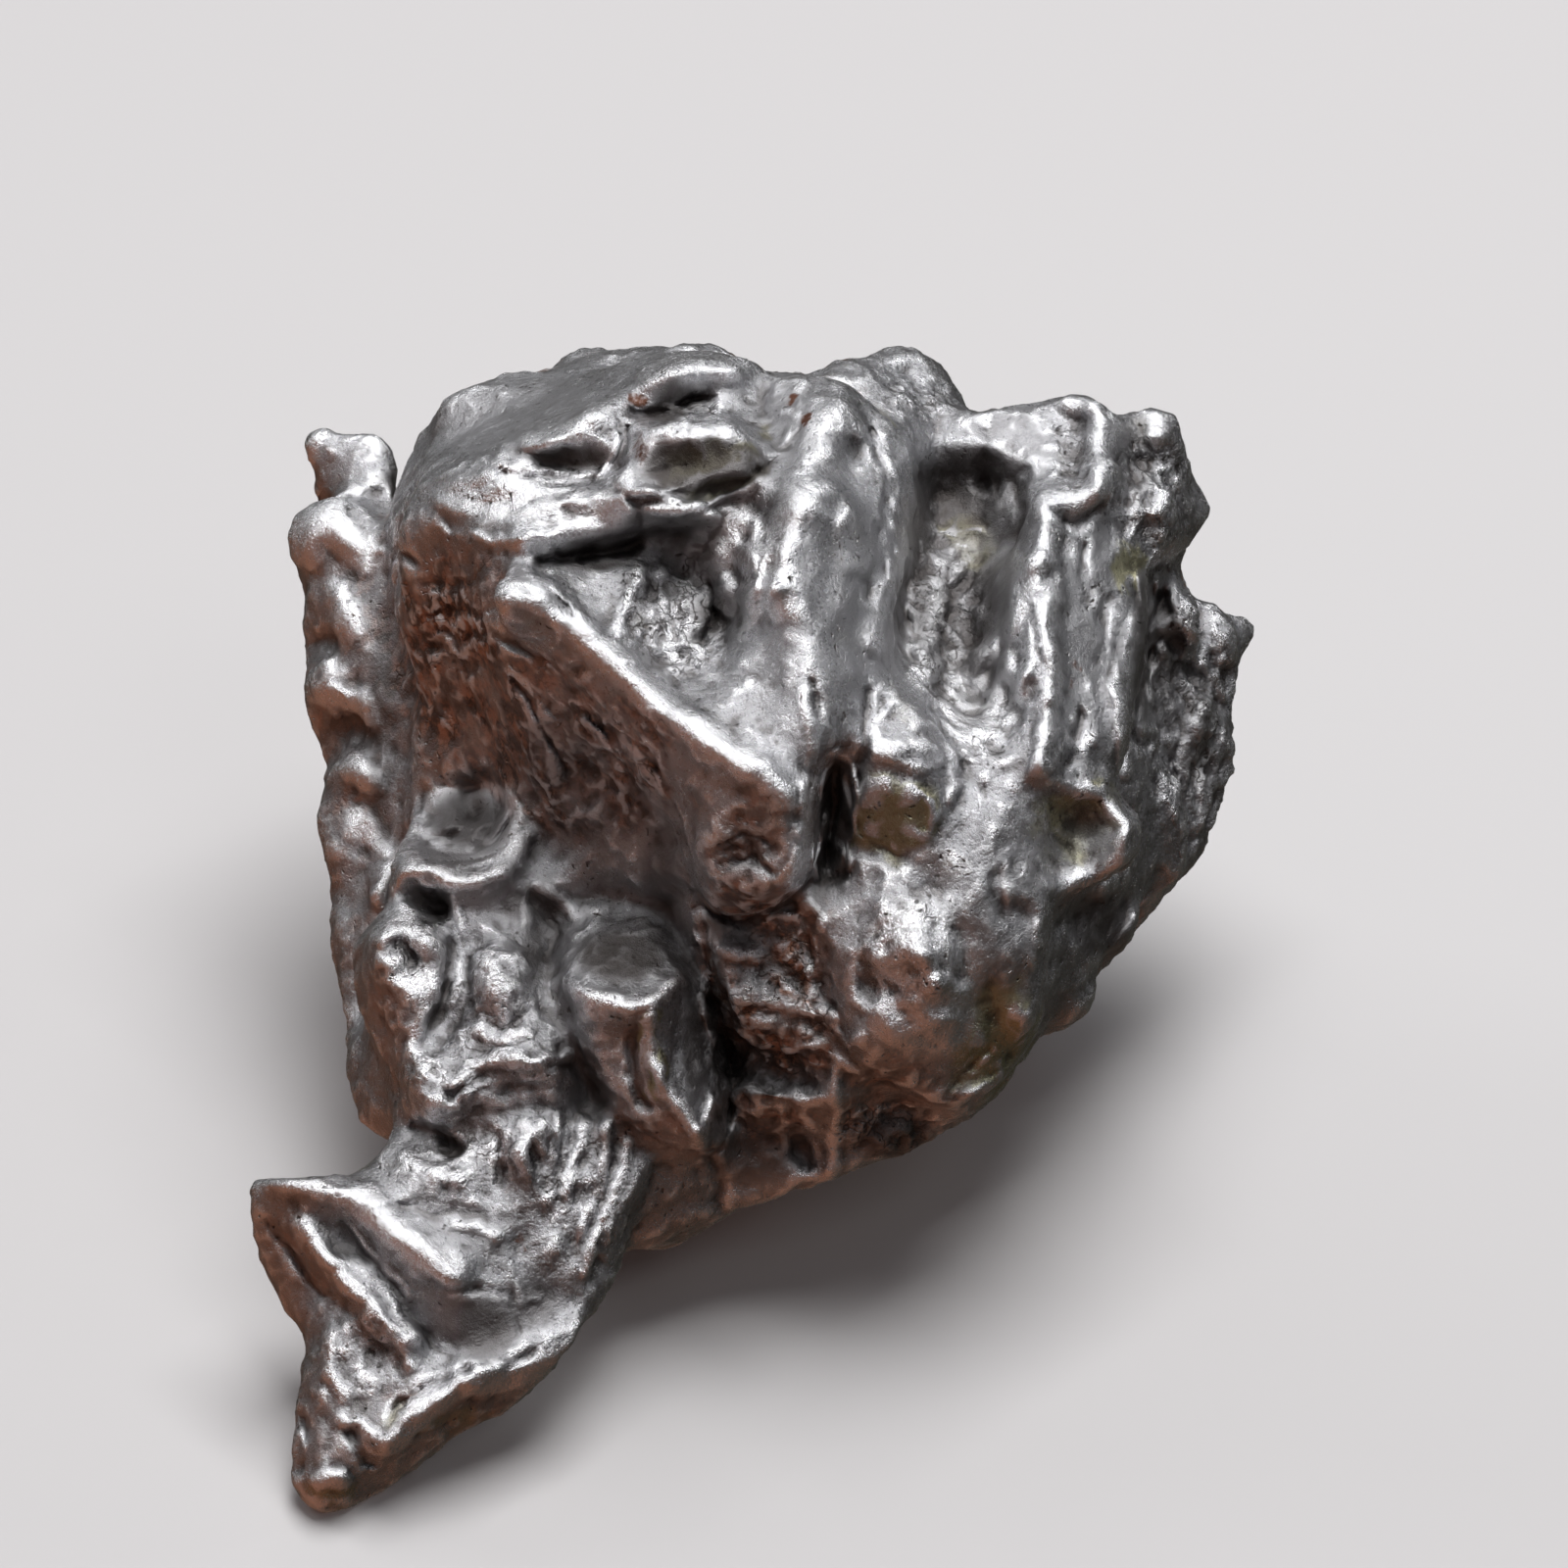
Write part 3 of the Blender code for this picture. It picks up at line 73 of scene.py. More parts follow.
def to_eye(places):
    """Turns places of the resting piece, in metres, to the eye's frame, in millimetres."""
    return (places / MM - EYE_MIDDLE) @ TURN


def to_rest(places):
    """The way back: from the eye's frame to the resting piece, in metres."""
    return (places @ TURN.T + EYE_MIDDLE) * MM


def seen_at(places):
    """Where the eye sees each place, as (across, up) on the plane of depth 0."""
    return places[:, :2] * EYE_DISTANCE / (EYE_DISTANCE - places[:, 2:3])


# %% [markdown]
# The fine skin
#
# Polished metal shows every flat triangle, so the solid's own faces are too coarse to shine.
# A voxel remesh wraps the solid in an even net of small squares. The squares then move to the
# mean of their neighbours some times over, which rounds the triangles away, and a last push
# outward gives back the height that rounding takes from the ridges.

# %% Tools for meshes
VOXEL = 0.17


def places_of(mesh):
    flat = np.empty(len(mesh.vertices) * 3)
    mesh.vertices.foreach_get("co", flat)
    return flat.reshape(-1, 3)


def put_places(mesh, places):
    mesh.vertices.foreach_set("co", places.ravel())
    mesh.update()


def settle(obj, kind, **settings):
    """Adds one modifier to the object and keeps the mesh that it makes."""
    modifier = obj.modifiers.new("work", kind)
    for setting, value in settings.items():
        setattr(modifier, setting, value)
    graph = bpy.context.evaluated_depsgraph_get()
    made = bpy.data.meshes.new_from_object(obj.evaluated_get(graph))
    obj.modifiers.clear()
    obj.data = made


def gathered(values, onto, count):
    """Adds up the values of each index, in a fixed order."""
    columns = values.reshape(len(values), -1).T
    return np.stack([np.bincount(onto, column, count) for column in columns], axis=1)


class Net:
    """The edges and squares of a mesh, and what is worked out from them."""

    def __init__(self, mesh):
        edges = np.empty(len(mesh.edges) * 2, dtype=int)
        mesh.edges.foreach_get("vertices", edges)
        first, second = edges.reshape(-1, 2).T
        self.start = np.concatenate([first, second])
        self.stop = np.concatenate([second, first])
        self.size = len(mesh.vertices)
        self.count = np.bincount(self.start, minlength=self.size)[:, None]
        corners = np.empty(len(mesh.loops), dtype=int)
        mesh.loops.foreach_get("vertex_index", corners)
        self.squares = corners.reshape(-1, 4)
        edge_of = np.empty(len(mesh.loops), dtype=int)
        mesh.loops.foreach_get("edge_index", edge_of)
        order = np.argsort(edge_of, kind="stable")
        shared = edge_of[order][1:] == edge_of[order][:-1]
        left = order[:-1][shared] // 4
        right = order[1:][shared] // 4
        self.here = np.concatenate([left, right])
        self.there = np.concatenate([right, left])

    def soften(self, values, rounds, share=0.5):
        """Moves each value part of the way to the mean of its neighbours, some times over."""
        flat = values.ndim == 1
        values = values.reshape(self.size, -1)
        for _ in range(rounds):
            mean = gathered(values[self.stop], self.start, self.size) / self.count
            values = values + share * (mean - values)
        return values[:, 0] if flat else values

    def flattened(self, places, rounds, crease, follow_rounds):
        """Evens out the facing of squares that already face alike, then moves the points to match."""
        corners = places[self.squares]
        facing = np.cross(corners[:, 2] - corners[:, 0], corners[:, 3] - corners[:, 1])
        facing /= np.linalg.norm(facing, axis=1)[:, None]
        for _ in range(rounds):
            beside = facing[self.there]
            alike = np.clip(np.sum(facing[self.here] * beside, axis=1) - crease, 0, 1) ** 2
            facing = facing * (1 - crease) ** 2
            facing += gathered(beside * alike[:, None], self.here, len(self.squares))
            facing /= np.linalg.norm(facing, axis=1)[:, None]
        onto = self.squares.ravel()
        wanted = np.repeat(facing, 4, axis=0)
        squares_at = np.bincount(onto, minlength=self.size)[:, None]
        for _ in range(follow_rounds):
            middle = np.repeat(places[self.squares].mean(axis=1), 4, axis=0)
            gap = np.sum(wanted * (middle - places[onto]), axis=1)
            places = places + gathered(wanted * gap[:, None], onto, self.size) / squares_at
        return places

    def outward(self, places):
        first, second, third, fourth = (places[self.squares[:, column]] for column in range(4))
        facing = np.cross(third - first, fourth - second)
        total = gathered(np.repeat(facing, 4, axis=0), self.squares.ravel(), self.size)
        return total / np.linalg.norm(total, axis=1)[:, None]


# %% Wrap the solid in the fine skin
ROUNDING_ROUNDS = 14
LOSS_ROUNDS = 6
GIVEN_BACK = 0.8
skin = bpy.data.objects.new("meteorite_skin", solid.data.copy())
bpy.context.scene.collection.objects.link(skin)
skin.data.materials.clear()
put_places(skin.data, to_eye(places_of(skin.data)))
settle(skin, "REMESH", mode="VOXEL", voxel_size=VOXEL)
net = Net(skin.data)
plain = places_of(skin.data)
places = net.soften(plain, ROUNDING_ROUNDS)
lost = net.soften(np.sum((plain - places) * net.outward(places), axis=1), LOSS_ROUNDS)
places = places + GIVEN_BACK * lost[:, None] * net.outward(places)
print("the skin has", net.size, "points")
print("most height that rounding took:", round(float(lost.max()), 2), "mm")

# %% [markdown]
# Flat between the creases
#
# Torn and hammered metal is made of small flat fields that meet in creases, but the rounded
# skin is soft all over. Squares that face nearly the same way are turned to face alike, round
# after round, and the points follow. Where the turn is sharp it stays, and it gets sharper.

# %% Flatten the fields and keep the creases
FIELD_ROUNDS = 8
CREASE = 0.92
FOLLOW_ROUNDS = 12
field_places = net.flattened(places, FIELD_ROUNDS, CREASE, FOLLOW_ROUNDS)
moved = np.linalg.norm(field_places - places, axis=1)
print("the fields moved by up to", round(float(moved.max()), 2), "mm")
places = field_places

# %% [markdown]
# What the eye can reach
#
# A mark that is read from the front has to stay on the front. A ray from each point towards
# the eye tells if something stands in its way. The answer is softened along the skin, so that
# a mark fades out over the edge where the metal turns away, and doesn't end in a cliff.

# %% Find the side that the eye sees
CLEARANCE = 0.3
SIGHT_ROUNDS = 4
SIGHT_SHARE = 0.8


def sight_of(places):
    """1 where the eye reaches the skin, 0 where something is in its way, and soft between."""
    tree = BVHTree.FromPolygons(places.tolist(), net.squares.tolist())
    eye = Vector((0, 0, EYE_DISTANCE))
    open_view = np.zeros(net.size)
    for index, place in enumerate(places.tolist()):
        place = Vector(place)
        towards = (eye - place).normalized()
        open_view[index] = tree.ray_cast(place + CLEARANCE * towards, towards)[0] is None
    return net.soften(open_view, SIGHT_ROUNDS, SIGHT_SHARE)


sight = sight_of(places)
towards_eye = np.array((0, 0, EYE_DISTANCE)) - places
towards_eye /= np.linalg.norm(towards_eye, axis=1)[:, None]
print("share of the skin that the eye sees:", round(float((sight > 0.5).mean()), 2))

# %% [markdown]
# Marks, one by one
#
# On the real piece, ridges are where metal folded or flowed, and wear and cleaning rub them first;
# here they are also made lighter in colour as a painted highlight. Grooves are seams between folds.
# Both could be painted as bump, but the highlights would then slide off the true outline. So each
# mark is a path with a height and a half width, and it lifts or sinks the skin itself, towards the
# eye.

# %% Tools for marks
# A ridge or groove narrower than these is lowered in step with its width.
RIDGE_WIDTH = 0.6
GROOVE_WIDTH = 0.4
FOLD_FALL = 1.5
STEP_EDGE = 0.22
STEP_FALL = 1.3
RING_POINTS = 12


def path_distance(points, path):
    """How far each point lies from the path, and on which side of it."""
    nearest = np.full(len(points), 1e9)
    side = np.zeros(len(points))
    for start, stop in zip(path, path[1:]):
        start = np.array(start)
        along = np.array(stop) - start
        offset = points - start
        share = np.clip(offset @ along / (along @ along), 0, 1)
        away = np.linalg.norm(offset - share[:, None] * along, axis=1)
        closer = away < nearest
        nearest = np.where(closer, away, nearest)
        side = np.where(closer, np.sign(along[0] * offset[:, 1] - along[1] * offset[:, 0]), side)
    return nearest, side


def near_path(points, path, reach):
    """Which points lie in the path's own box, widened by the reach."""
    corners = np.array(path)
    low = corners.min(axis=0) - reach
    high = corners.max(axis=0) + reach
    return np.nonzero(np.all((points > low) & (points < high), axis=1))[0]


def folds(marks, points):
    """The height that ridges and grooves give: each mark is (height, half width, path)."""
    lift = np.zeros(len(points))
    for height, reach, path in marks:
        near = near_path(points, path, reach)
        away, _ = path_distance(points[near], path)
        slender = min(1.0, reach / (RIDGE_WIDTH if height > 0 else GROOVE_WIDTH))
        lift[near] += slender * height * np.clip(1 - (away / reach) ** 2, 0, 1) ** FOLD_FALL
    return lift


def steps(marks, points):
    """The height that flakes give: metal to the left of the path stands up and fades away."""
    lift = np.zeros(len(points))
    for height, reach, path in marks:
        near = near_path(points, path, reach)
        away, side = path_distance(points[near], path)
        raised = np.clip(0.5 + side * away / STEP_EDGE, 0, 1)
        lift[near] += height * raised * np.clip(1 - away / reach, 0, 1) ** STEP_FALL
    return lift


def facets(marks, points):
    """Tilts flat facets: (across, up, half width, half height, slope across, slope up)."""
    lift = np.zeros(len(points))
    for across, up, half_width, half_height, slope_across, slope_up in marks:
        right = points[:, 0] - across
        above = points[:, 1] - up
        reach = (right / half_width) ** 2 + (above / half_height) ** 2
        window = np.clip(1 - reach * reach, 0, 1)
        lift += window * (slope_across * right + slope_up * above)
    return lift


def ring(across, up, radius):
    """A closed round path."""
    turns = [2 * math.pi * step / RING_POINTS for step in range(RING_POINTS + 1)]
    return [(across + radius * math.cos(turn), up + radius * math.sin(turn)) for turn in turns]


# %% [markdown]
# The block at the upper left
#
# A flat crown with a rim, a dark ledge under it, a bright pitted facet, a beam with a slot
# below, a rough hollow, and the long lip that runs down to the nose. Its left cheek is cracked.

# %% Marks of the block
CROWN_FOLDS = [
    (0.5, 0.7, [(-8.9, 12.1), (-7.4, 12.6), (-6.2, 13.3)]),
    (0.5, 0.9, [(-4.6, 14.3), (-3.4, 14.9), (-2.2, 15.0)]),
    (-0.7, 0.4, [(-5.4, 13.2), (-4.3, 13.15)]),
    (-0.6, 0.35, [(-3.6, 13.6), (-2.8, 13.8)]),
    (0.3, 0.35, [(-5.1, 12.75), (-4.2, 12.85), (-3.2, 13.15), (-2.3, 13.3)]),
    (-0.4, 0.3, [(-5.9, 13.1), (-5.7, 12.0), (-6.1, 10.9)]),
    (-0.3, 0.22, [(-5.2, 12.5), (-5.4, 11.5)]),
    (0.25, 0.3, [(-2.0, 12.9), (-1.4, 12.3), (-0.9, 11.8)]),
    (-0.45, 0.3, [(-0.5, 11.4), (-1.6, 11.1), (-2.6, 10.6), (-4.4, 9.95), (-5.4, 10.1)]),
    (-0.3, 0.18, [(0.95, 14.5), (0.5, 12.8), (-0.6, 11.2)]),
    (0.2, 0.5, [(-11.6, 10.9), (-9.4, 11.2)]),
]
BEAM_FOLDS = [
    (0.5, 0.8, [(-9.3, 8.7), (-7.6, 9.1), (-5.8, 9.9)]),
    (0.45, 0.55, [(-4.8, 9.4), (-3.7, 9.7), (-2.7, 9.6)]),
    (-0.35, 0.2, [(-5.4, 10.1), (-5.1, 9.5), (-5.0, 9.0)]),
    (-0.8, 0.4, [(-8.5, 7.9), (-7.2, 8.0), (-5.9, 8.4), (-5.2, 8.7)]),
    (-0.25, 0.16, [(-2.3, 9.9), (-2.2, 9.3), (-3.3, 8.5)]),
    (-0.25, 0.16, [(-1.9, 8.8), (-2.4, 8.1), (-3.0, 7.5)]),
    (-0.22, 0.15, [(-2.2, 9.3), (-1.5, 9.6), (-1.0, 10.6)]),
    (0.25, 0.4, [(-12.4, 10.1), (-11.2, 9.4), (-10.1, 8.6)]),
]
HOLLOW_FOLDS = [
    (1.2, 1.8, [(-2.0, 8.3), (-1.0, 7.2)]),
    (0.5, 1.2, [(-3.4, 6.4), (-3.6, 5.2)]),
    (0.5, 0.4, [(-5.3, 7.4), (-5.6, 6.4), (-5.9, 5.4)]),
    (0.4, 0.3, [(-4.3, 7.6), (-4.5, 6.6), (-4.1, 5.6)]),
    (0.35, 0.35, [(-3.4, 6.6), (-3.5, 5.4), (-3.2, 4.6)]),
    (-0.6, 0.32, [(-2.7, 7.0), (-2.6, 6.1), (-2.9, 5.2)]),
    (0.5, 0.4, [(-1.4, 8.1), (-1.1, 6.8), (-1.4, 5.3)]),
    (-0.35, 0.25, [(-4.8, 7.0), (-5.0, 6.0), (-5.1, 5.0)]),
    (0.3, 0.22, [(-5.0, 4.7), (-4.4, 4.0), (-3.9, 3.4)]),
    (0.3, 0.22, [(-3.9, 4.3), (-3.3, 3.3)]),
    (-0.3, 0.2, [(-4.5, 4.6), (-3.8, 3.7)]),
    (-0.25, 0.3, [(-2.2, 4.4), (-1.0, 3.6)]),
]
LIP_FOLDS = [
    (0.3, 1.1, [(-7.4, 5.4), (-5.4, 3.7), (-3.4, 2.1), (-1.4, 0.8)]),
    (-0.3, 0.9, [(-9.4, 6.5), (-8.9, 6.2)]),
    (0.35, 0.45, [(-9.0, 7.7), (-8.2, 7.0), (-7.4, 6.2), (-6.9, 5.6)]),
    (-0.25, 0.3, [(-7.9, 6.2), (-7.8, 5.9)]),
    (-0.45, 0.3, [(-10.1, 5.3), (-9.2, 4.6), (-8.2, 4.2), (-7.3, 4.0)]),
    (-0.25, 0.2, [(-3.6, 2.9), (-3.3, 2.3), (-3.5, 1.8)]),
]
CHEEK_FOLDS = [
    (-0.4, 0.2, [(-13.0, 6.0), (-12.0, 6.2), (-11.0, 6.1), (-10.6, 6.4)]),
    (-0.4, 0.2, [(-12.4, 5.3), (-11.4, 5.3), (-10.8, 5.5)]),
    (-0.35, 0.17, [(-12.5, 6.1), (-12.4, 5.4)]),
    (-0.35, 0.17, [(-11.5, 6.1), (-11.4, 5.4)]),
    (-0.35, 0.2, [(-12.6, 4.7), (-11.3, 4.6)]),
    (-0.5, 0.3, [(-14.0, 8.1), (-13.2, 8.0)]),
    (-0.3, 0.3, [(-12.8, 7.4), (-11.6, 7.0), (-10.9, 7.3)]),
    (-0.4, 0.3, [(-9.5, 3.6), (-8.4, 1.8), (-7.8, 0.2)]),
    (-0.4, 0.32, [(-8.6, 3.2), (-7.2, 1.8), (-6.2, 0.0)]),
    (0.35, 0.35, [(-8.0, 2.8), (-6.8, 1.2), (-6.0, -0.6)]),
    (-0.4, 0.28, [(-6.8, 2.6), (-5.6, 0.9), (-5.0, -1.0)]),
    (0.35, 0.4, [(-5.6, 1.6), (-4.8, 0.2), (-4.4, -1.4)]),
    (-0.35, 0.28, [(-4.6, 0.8), (-3.9, -0.6), (-3.6, -2.2)]),
    (-0.3, 0.25, [(-11.6, 3.9), (-10.8, 2.2), (-10.4, 0.8)]),
    (0.3, 0.3, [(-11.0, 4.0), (-10.0, 2.0), (-9.4, 0.4)]),
]

# %% [markdown]
# The column and the shoulder on the right
#
# A smooth, dented column runs down the middle. Right of it are a flaky gully, a long bright
# ridge in steps, and a shoulder with a thin raised strip along its far edge.

# %% Marks of the column and the shoulder
COLUMN_FOLDS = [
    (0.3, 1.0, [(0.3, 10.4), (0.0, 8.4), (0.2, 6.4)]),
    (-0.25, 0.15, [(0.7, 9.9), (0.8, 9.0)]),
    (0.4, 0.5, [(1.9, 14.4), (2.2, 13.6), (2.5, 12.9)]),
    (0.25, 0.8, [(2.2, 9.4), (2.4, 8.0)]),
    (-0.3, 0.9, [(1.6, 11.0), (1.8, 10.6)]),
    (-0.25, 0.8, [(1.4, 7.0), (1.5, 6.4)]),
    (-0.3, 0.6, [(2.0, 12.2), (2.4, 11.8)]),
    (0.3, 0.5, [(3.6, 13.0), (4.5, 11.2), (4.5, 9.6), (3.9, 7.3), (3.3, 5.0)]),
    (-0.4, 0.35, [(3.0, 12.6), (3.7, 10.6), (3.5, 8.6), (2.9, 6.6)]),
    (0.3, 0.2, [(4.1, 8.9), (4.3, 8.3)]),
    (-0.35, 0.25, [(1.2, 3.6), (1.4, 2.2), (1.5, 0.9)]),
    (0.3, 0.25, [(0.8, 3.4), (1.0, 2.0), (1.0, 0.8)]),
    (0.3, 0.5, [(3.5, 15.1), (4.6, 15.3), (5.5, 14.8), (5.8, 14.0)]),
    (-0.3, 0.5, [(4.2, 14.3), (5.0, 13.8)]),
]
GULLY_FOLDS = [
    (0.45, 0.25, [(4.9, 6.1), (5.9, 6.4)]),
    (0.45, 0.25, [(6.0, 7.2), (6.6, 8.2)]),
    (0.4, 0.22, [(5.2, 5.2), (5.6, 4.2)]),
    (0.4, 0.25, [(5.5, 7.4), (5.2, 8.2)]),
    (0.35, 0.22, [(5.9, 5.6), (6.4, 4.8)]),
    (0.4, 0.22, [(6.3, 8.8), (7.0, 9.1)]),
    (-0.9, 1.0, [(7.4, 11.2), (8.4, 10.6)]),
    (0.3, 0.4, [(6.6, 13.1), (7.2, 13.0)]),
    (0.9, 1.7, [(6.9, 2.6), (7.2, 3.6)]),
    (0.6, 1.3, [(8.0, 7.6), (7.9, 4.0)]),
    (0.7, 0.8, [(4.9, 4.0), (5.2, 6.8)]),
    (-0.5, 0.5, [(4.6, 9.6), (4.4, 6.6), (4.5, 4.6)]),
]
SHOULDER_FOLDS = [
    (0.3, 0.7, [(10.4, 13.7), (11.7, 13.3), (11.5, 12.0), (11.3, 10.4)]),
    (0.3, 0.6, [(8.9, 10.3), (10.2, 10.1), (11.2, 10.2)]),
    (0.3, 0.6, [(9.4, 9.7), (9.3, 8.2), (8.8, 7.8)]),
    (0.35, 0.6, [(9.6, 7.0), (9.6, 5.0), (9.5, 3.2)]),
    (0.35, 0.5, [(9.3, 2.9), (9.2, 0.7)]),
    (-0.25, 0.16, [(9.4, 7.5), (9.7, 6.0), (9.8, 4.2)]),
    (-0.35, 0.3, [(11.5, 10.0), (10.6, 9.5), (9.9, 9.2)]),
    (0.4, 0.4, [(14.2, 10.8), (13.4, 9.9)]),
    (0.35, 0.3, [(13.0, 10.8), (12.6, 9.8)]),
    (-0.4, 0.4, [(12.4, 11.6), (12.5, 10.2)]),
    (0.5, 0.7, [(13.5, 13.6), (13.4, 12.6)]),
    (0.15, 0.4, ring(12.1, 7.7, 0.65)),
    (0.5, 0.4, [(14.3, 8.8), (12.9, 7.6), (12.7, 5.8), (12.1, 3.7), (12.0, 1.5), (12.1, 0.4)]),
    (-0.6, 0.4, [(13.6, 7.6), (13.4, 5.8), (12.8, 3.7), (12.7, 1.5)]),
    (-0.3, 0.3, [(10.6, 8.6), (10.8, 6.4)]),
    (-0.3, 0.28, [(11.6, 6.6), (11.2, 4.2)]),
    (0.3, 0.3, [(11.0, 3.4), (11.2, 1.6)]),
    (-0.3, 0.35, [(10.6, 2.6), (10.4, 0.9)]),
]
BLOCK_FOLDS = [
    (1.2, 0.9, [(1.8, 0.4), (1.7, -2.6)]),
    (-1.3, 0.34, [(1.8, 0.4), (1.65, -1.2), (1.5, -2.6)]),
    (0.3, 0.3, [(4.1, 3.3), (3.4, 2.2), (3.3, 1.2)]),
    (0.3, 0.3, [(3.3, 1.0), (4.6, 0.7), (5.8, 1.0)]),
    (-0.4, 0.28, [(3.0, 3.4), (2.9, 2.2), (2.9, 1.0), (2.6, 0.2)]),
    (0.4, 0.28, [(6.0, 0.9), (6.3, 0.1), (6.0, -0.6)]),
    (0.35, 0.3, [(4.8, -0.4), (5.3, -1.0), (5.0, -1.8), (4.4, -1.6)]),
    (-0.35, 0.28, [(6.4, 0.7), (6.9, -0.2)]),
    (-0.3, 0.25, [(2.6, -1.4), (3.4, -2.2), (4.6, -2.8)]),
]

# %% [markdown]
# The nose, the belly and the bulge
#
# The nose carries a round rough pit. Below it the belly is layered in brown flakes, and on the
# right a hammered bulge ends in a sharp lower lip. A small ear sticks out beside it.

# %% Marks of the nose, the belly and the bulge
NOSE_FOLDS = [
    (-0.45, 1.7, [(-1.5, -2.5), (-1.4, -2.4)]),
    (0.45, 0.4, [(0.85, 0.1), (0.9, -1.2), (0.6, -2.6), (0.0, -3.6)]),
    (-0.45, 0.3, [(-3.1, -4.4), (-1.4, -4.9), (0.2, -4.3), (0.8, -3.2)]),
    (-0.35, 0.2, [(-2.4, -2.0), (-1.4, -1.7), (-0.6, -2.2)]),
    (-0.3, 0.2, [(-2.2, -2.9), (-1.2, -2.7), (-0.5, -3.2)]),
]
BELLY_FOLDS = [
    (-0.35, 0.22, [(0.6, -4.8), (1.0, -6.2), (1.4, -7.6), (2.4, -8.8)]),
    (0.4, 0.25, [(0.9, -4.2), (1.3, -5.2)]),
    (0.45, 0.35, [(1.8, -10.2), (1.9, -12.0), (1.7, -14.0)]),
    (-0.4, 0.4, [(0.4, -11.8), (0.6, -13.6)]),
    (-0.4, 0.35, [(-2.4, -13.6), (-2.2, -15.0)]),
]
BELLY_STEPS = [
    (0.25, 1.0, [(-3.0, -5.8), (-1.6, -6.4), (-0.4, -6.2), (0.8, -6.8)]),
    (0.25, 0.9, [(-2.8, -7.4), (-1.2, -7.8), (0.4, -8.2), (1.6, -8.6)]),
    (0.3, 0.9, [(-2.4, -8.6), (-0.6, -9.4), (1.2, -9.8), (2.3, -10.2)]),
    (0.25, 0.7, [(-1.8, -11.2), (-0.2, -11.3), (1.4, -11.6)]),
]
BULGE_FOLDS = [
    (0.35, 0.6, [(5.0, -6.4), (5.3, -7.0)]),
    (-0.35, 0.35, [(3.8, -7.2), (3.85, -7.4)]),
    (-0.3, 0.25, [(7.4, -3.4), (7.8, -4.8)]),
    (0.3, 0.35, [(9.2, -4.8), (9.3, -7.2), (8.7, -9.0), (8.0, -10.3), (6.6, -11.6)]),
    (-0.35, 0.22, [(6.6, -10.2), (7.3, -9.6)]),
    (-0.35, 0.22, [(5.8, -11.0), (6.4, -10.4)]),
    (0.6, 2.7, [(5.0, -6.2), (5.0, -8.0)]),
    (0.25, 0.9, [(3.5, -8.5), (3.8, -8.6)]),
    (-0.25, 0.4, [(2.8, -6.2), (3.0, -7.6)]),
]
BULGE_STEPS = [
    (0.5, 0.9, [(2.4, -9.2), (3.8, -10.6), (6.0, -11.6), (7.2, -11.2)]),
]
EAR_FOLDS = [
    (0.35, 0.4, [(9.8, 0.1), (11.2, -0.4), (12.3, -1.6), (12.1, -3.0), (11.3, -3.7)]),
    (-0.25, 0.9, [(10.4, -1.6), (11.2, -2.4)]),
    (-0.35, 0.22, [(9.6, -1.9), (10.3, -2.2), (10.4, -2.8)]),
]

# %% [markdown]
# The knuckle, the tongue and the tail
#
# A knob with a flat dark top stands beside the tongue. The tongue starts in a cup with a rolled
# rim, runs down over round lumps and folds, and ends in a beak and a pointed tail.

# %% Marks of the knuckle, the tongue and the tail
KNUCKLE_FOLDS = [
    (0.4, 0.4, [(-7.7, -7.1), (-6.9, -7.8), (-5.6, -8.0), (-4.4, -7.6), (-3.8, -6.9)]),
    (0.3, 0.3, [(-7.8, -6.6), (-6.6, -5.5), (-5.2, -5.2), (-4.0, -5.9)]),
    (0.45, 0.4, [(-4.8, -8.4), (-4.7, -9.8), (-4.2, -11.2), (-3.2, -12.4)]),
    (-0.35, 0.35, [(-5.4, -8.8), (-5.6, -10.2), (-5.0, -11.6)]),
    (0.5, 0.32, [(-3.0, -7.6), (-2.3, -9.2), (-2.1, -10.8), (-2.6, -11.8)]),
    (0.45, 0.32, [(-3.2, -12.4), (-2.2, -13.4)]),
    (-0.6, 0.36, [(-2.9, -5.2), (-2.5, -7.2), (-1.9, -9.6), (-2.0, -11.6), (-2.6, -13.2)]),
    (0.35, 0.35, [(-8.2, -4.0), (-7.2, -4.6), (-6.4, -4.4)]),
    (-0.35, 0.28, [(-9.0, -4.0), (-8.2, -5.2), (-8.4, -6.2)]),
]
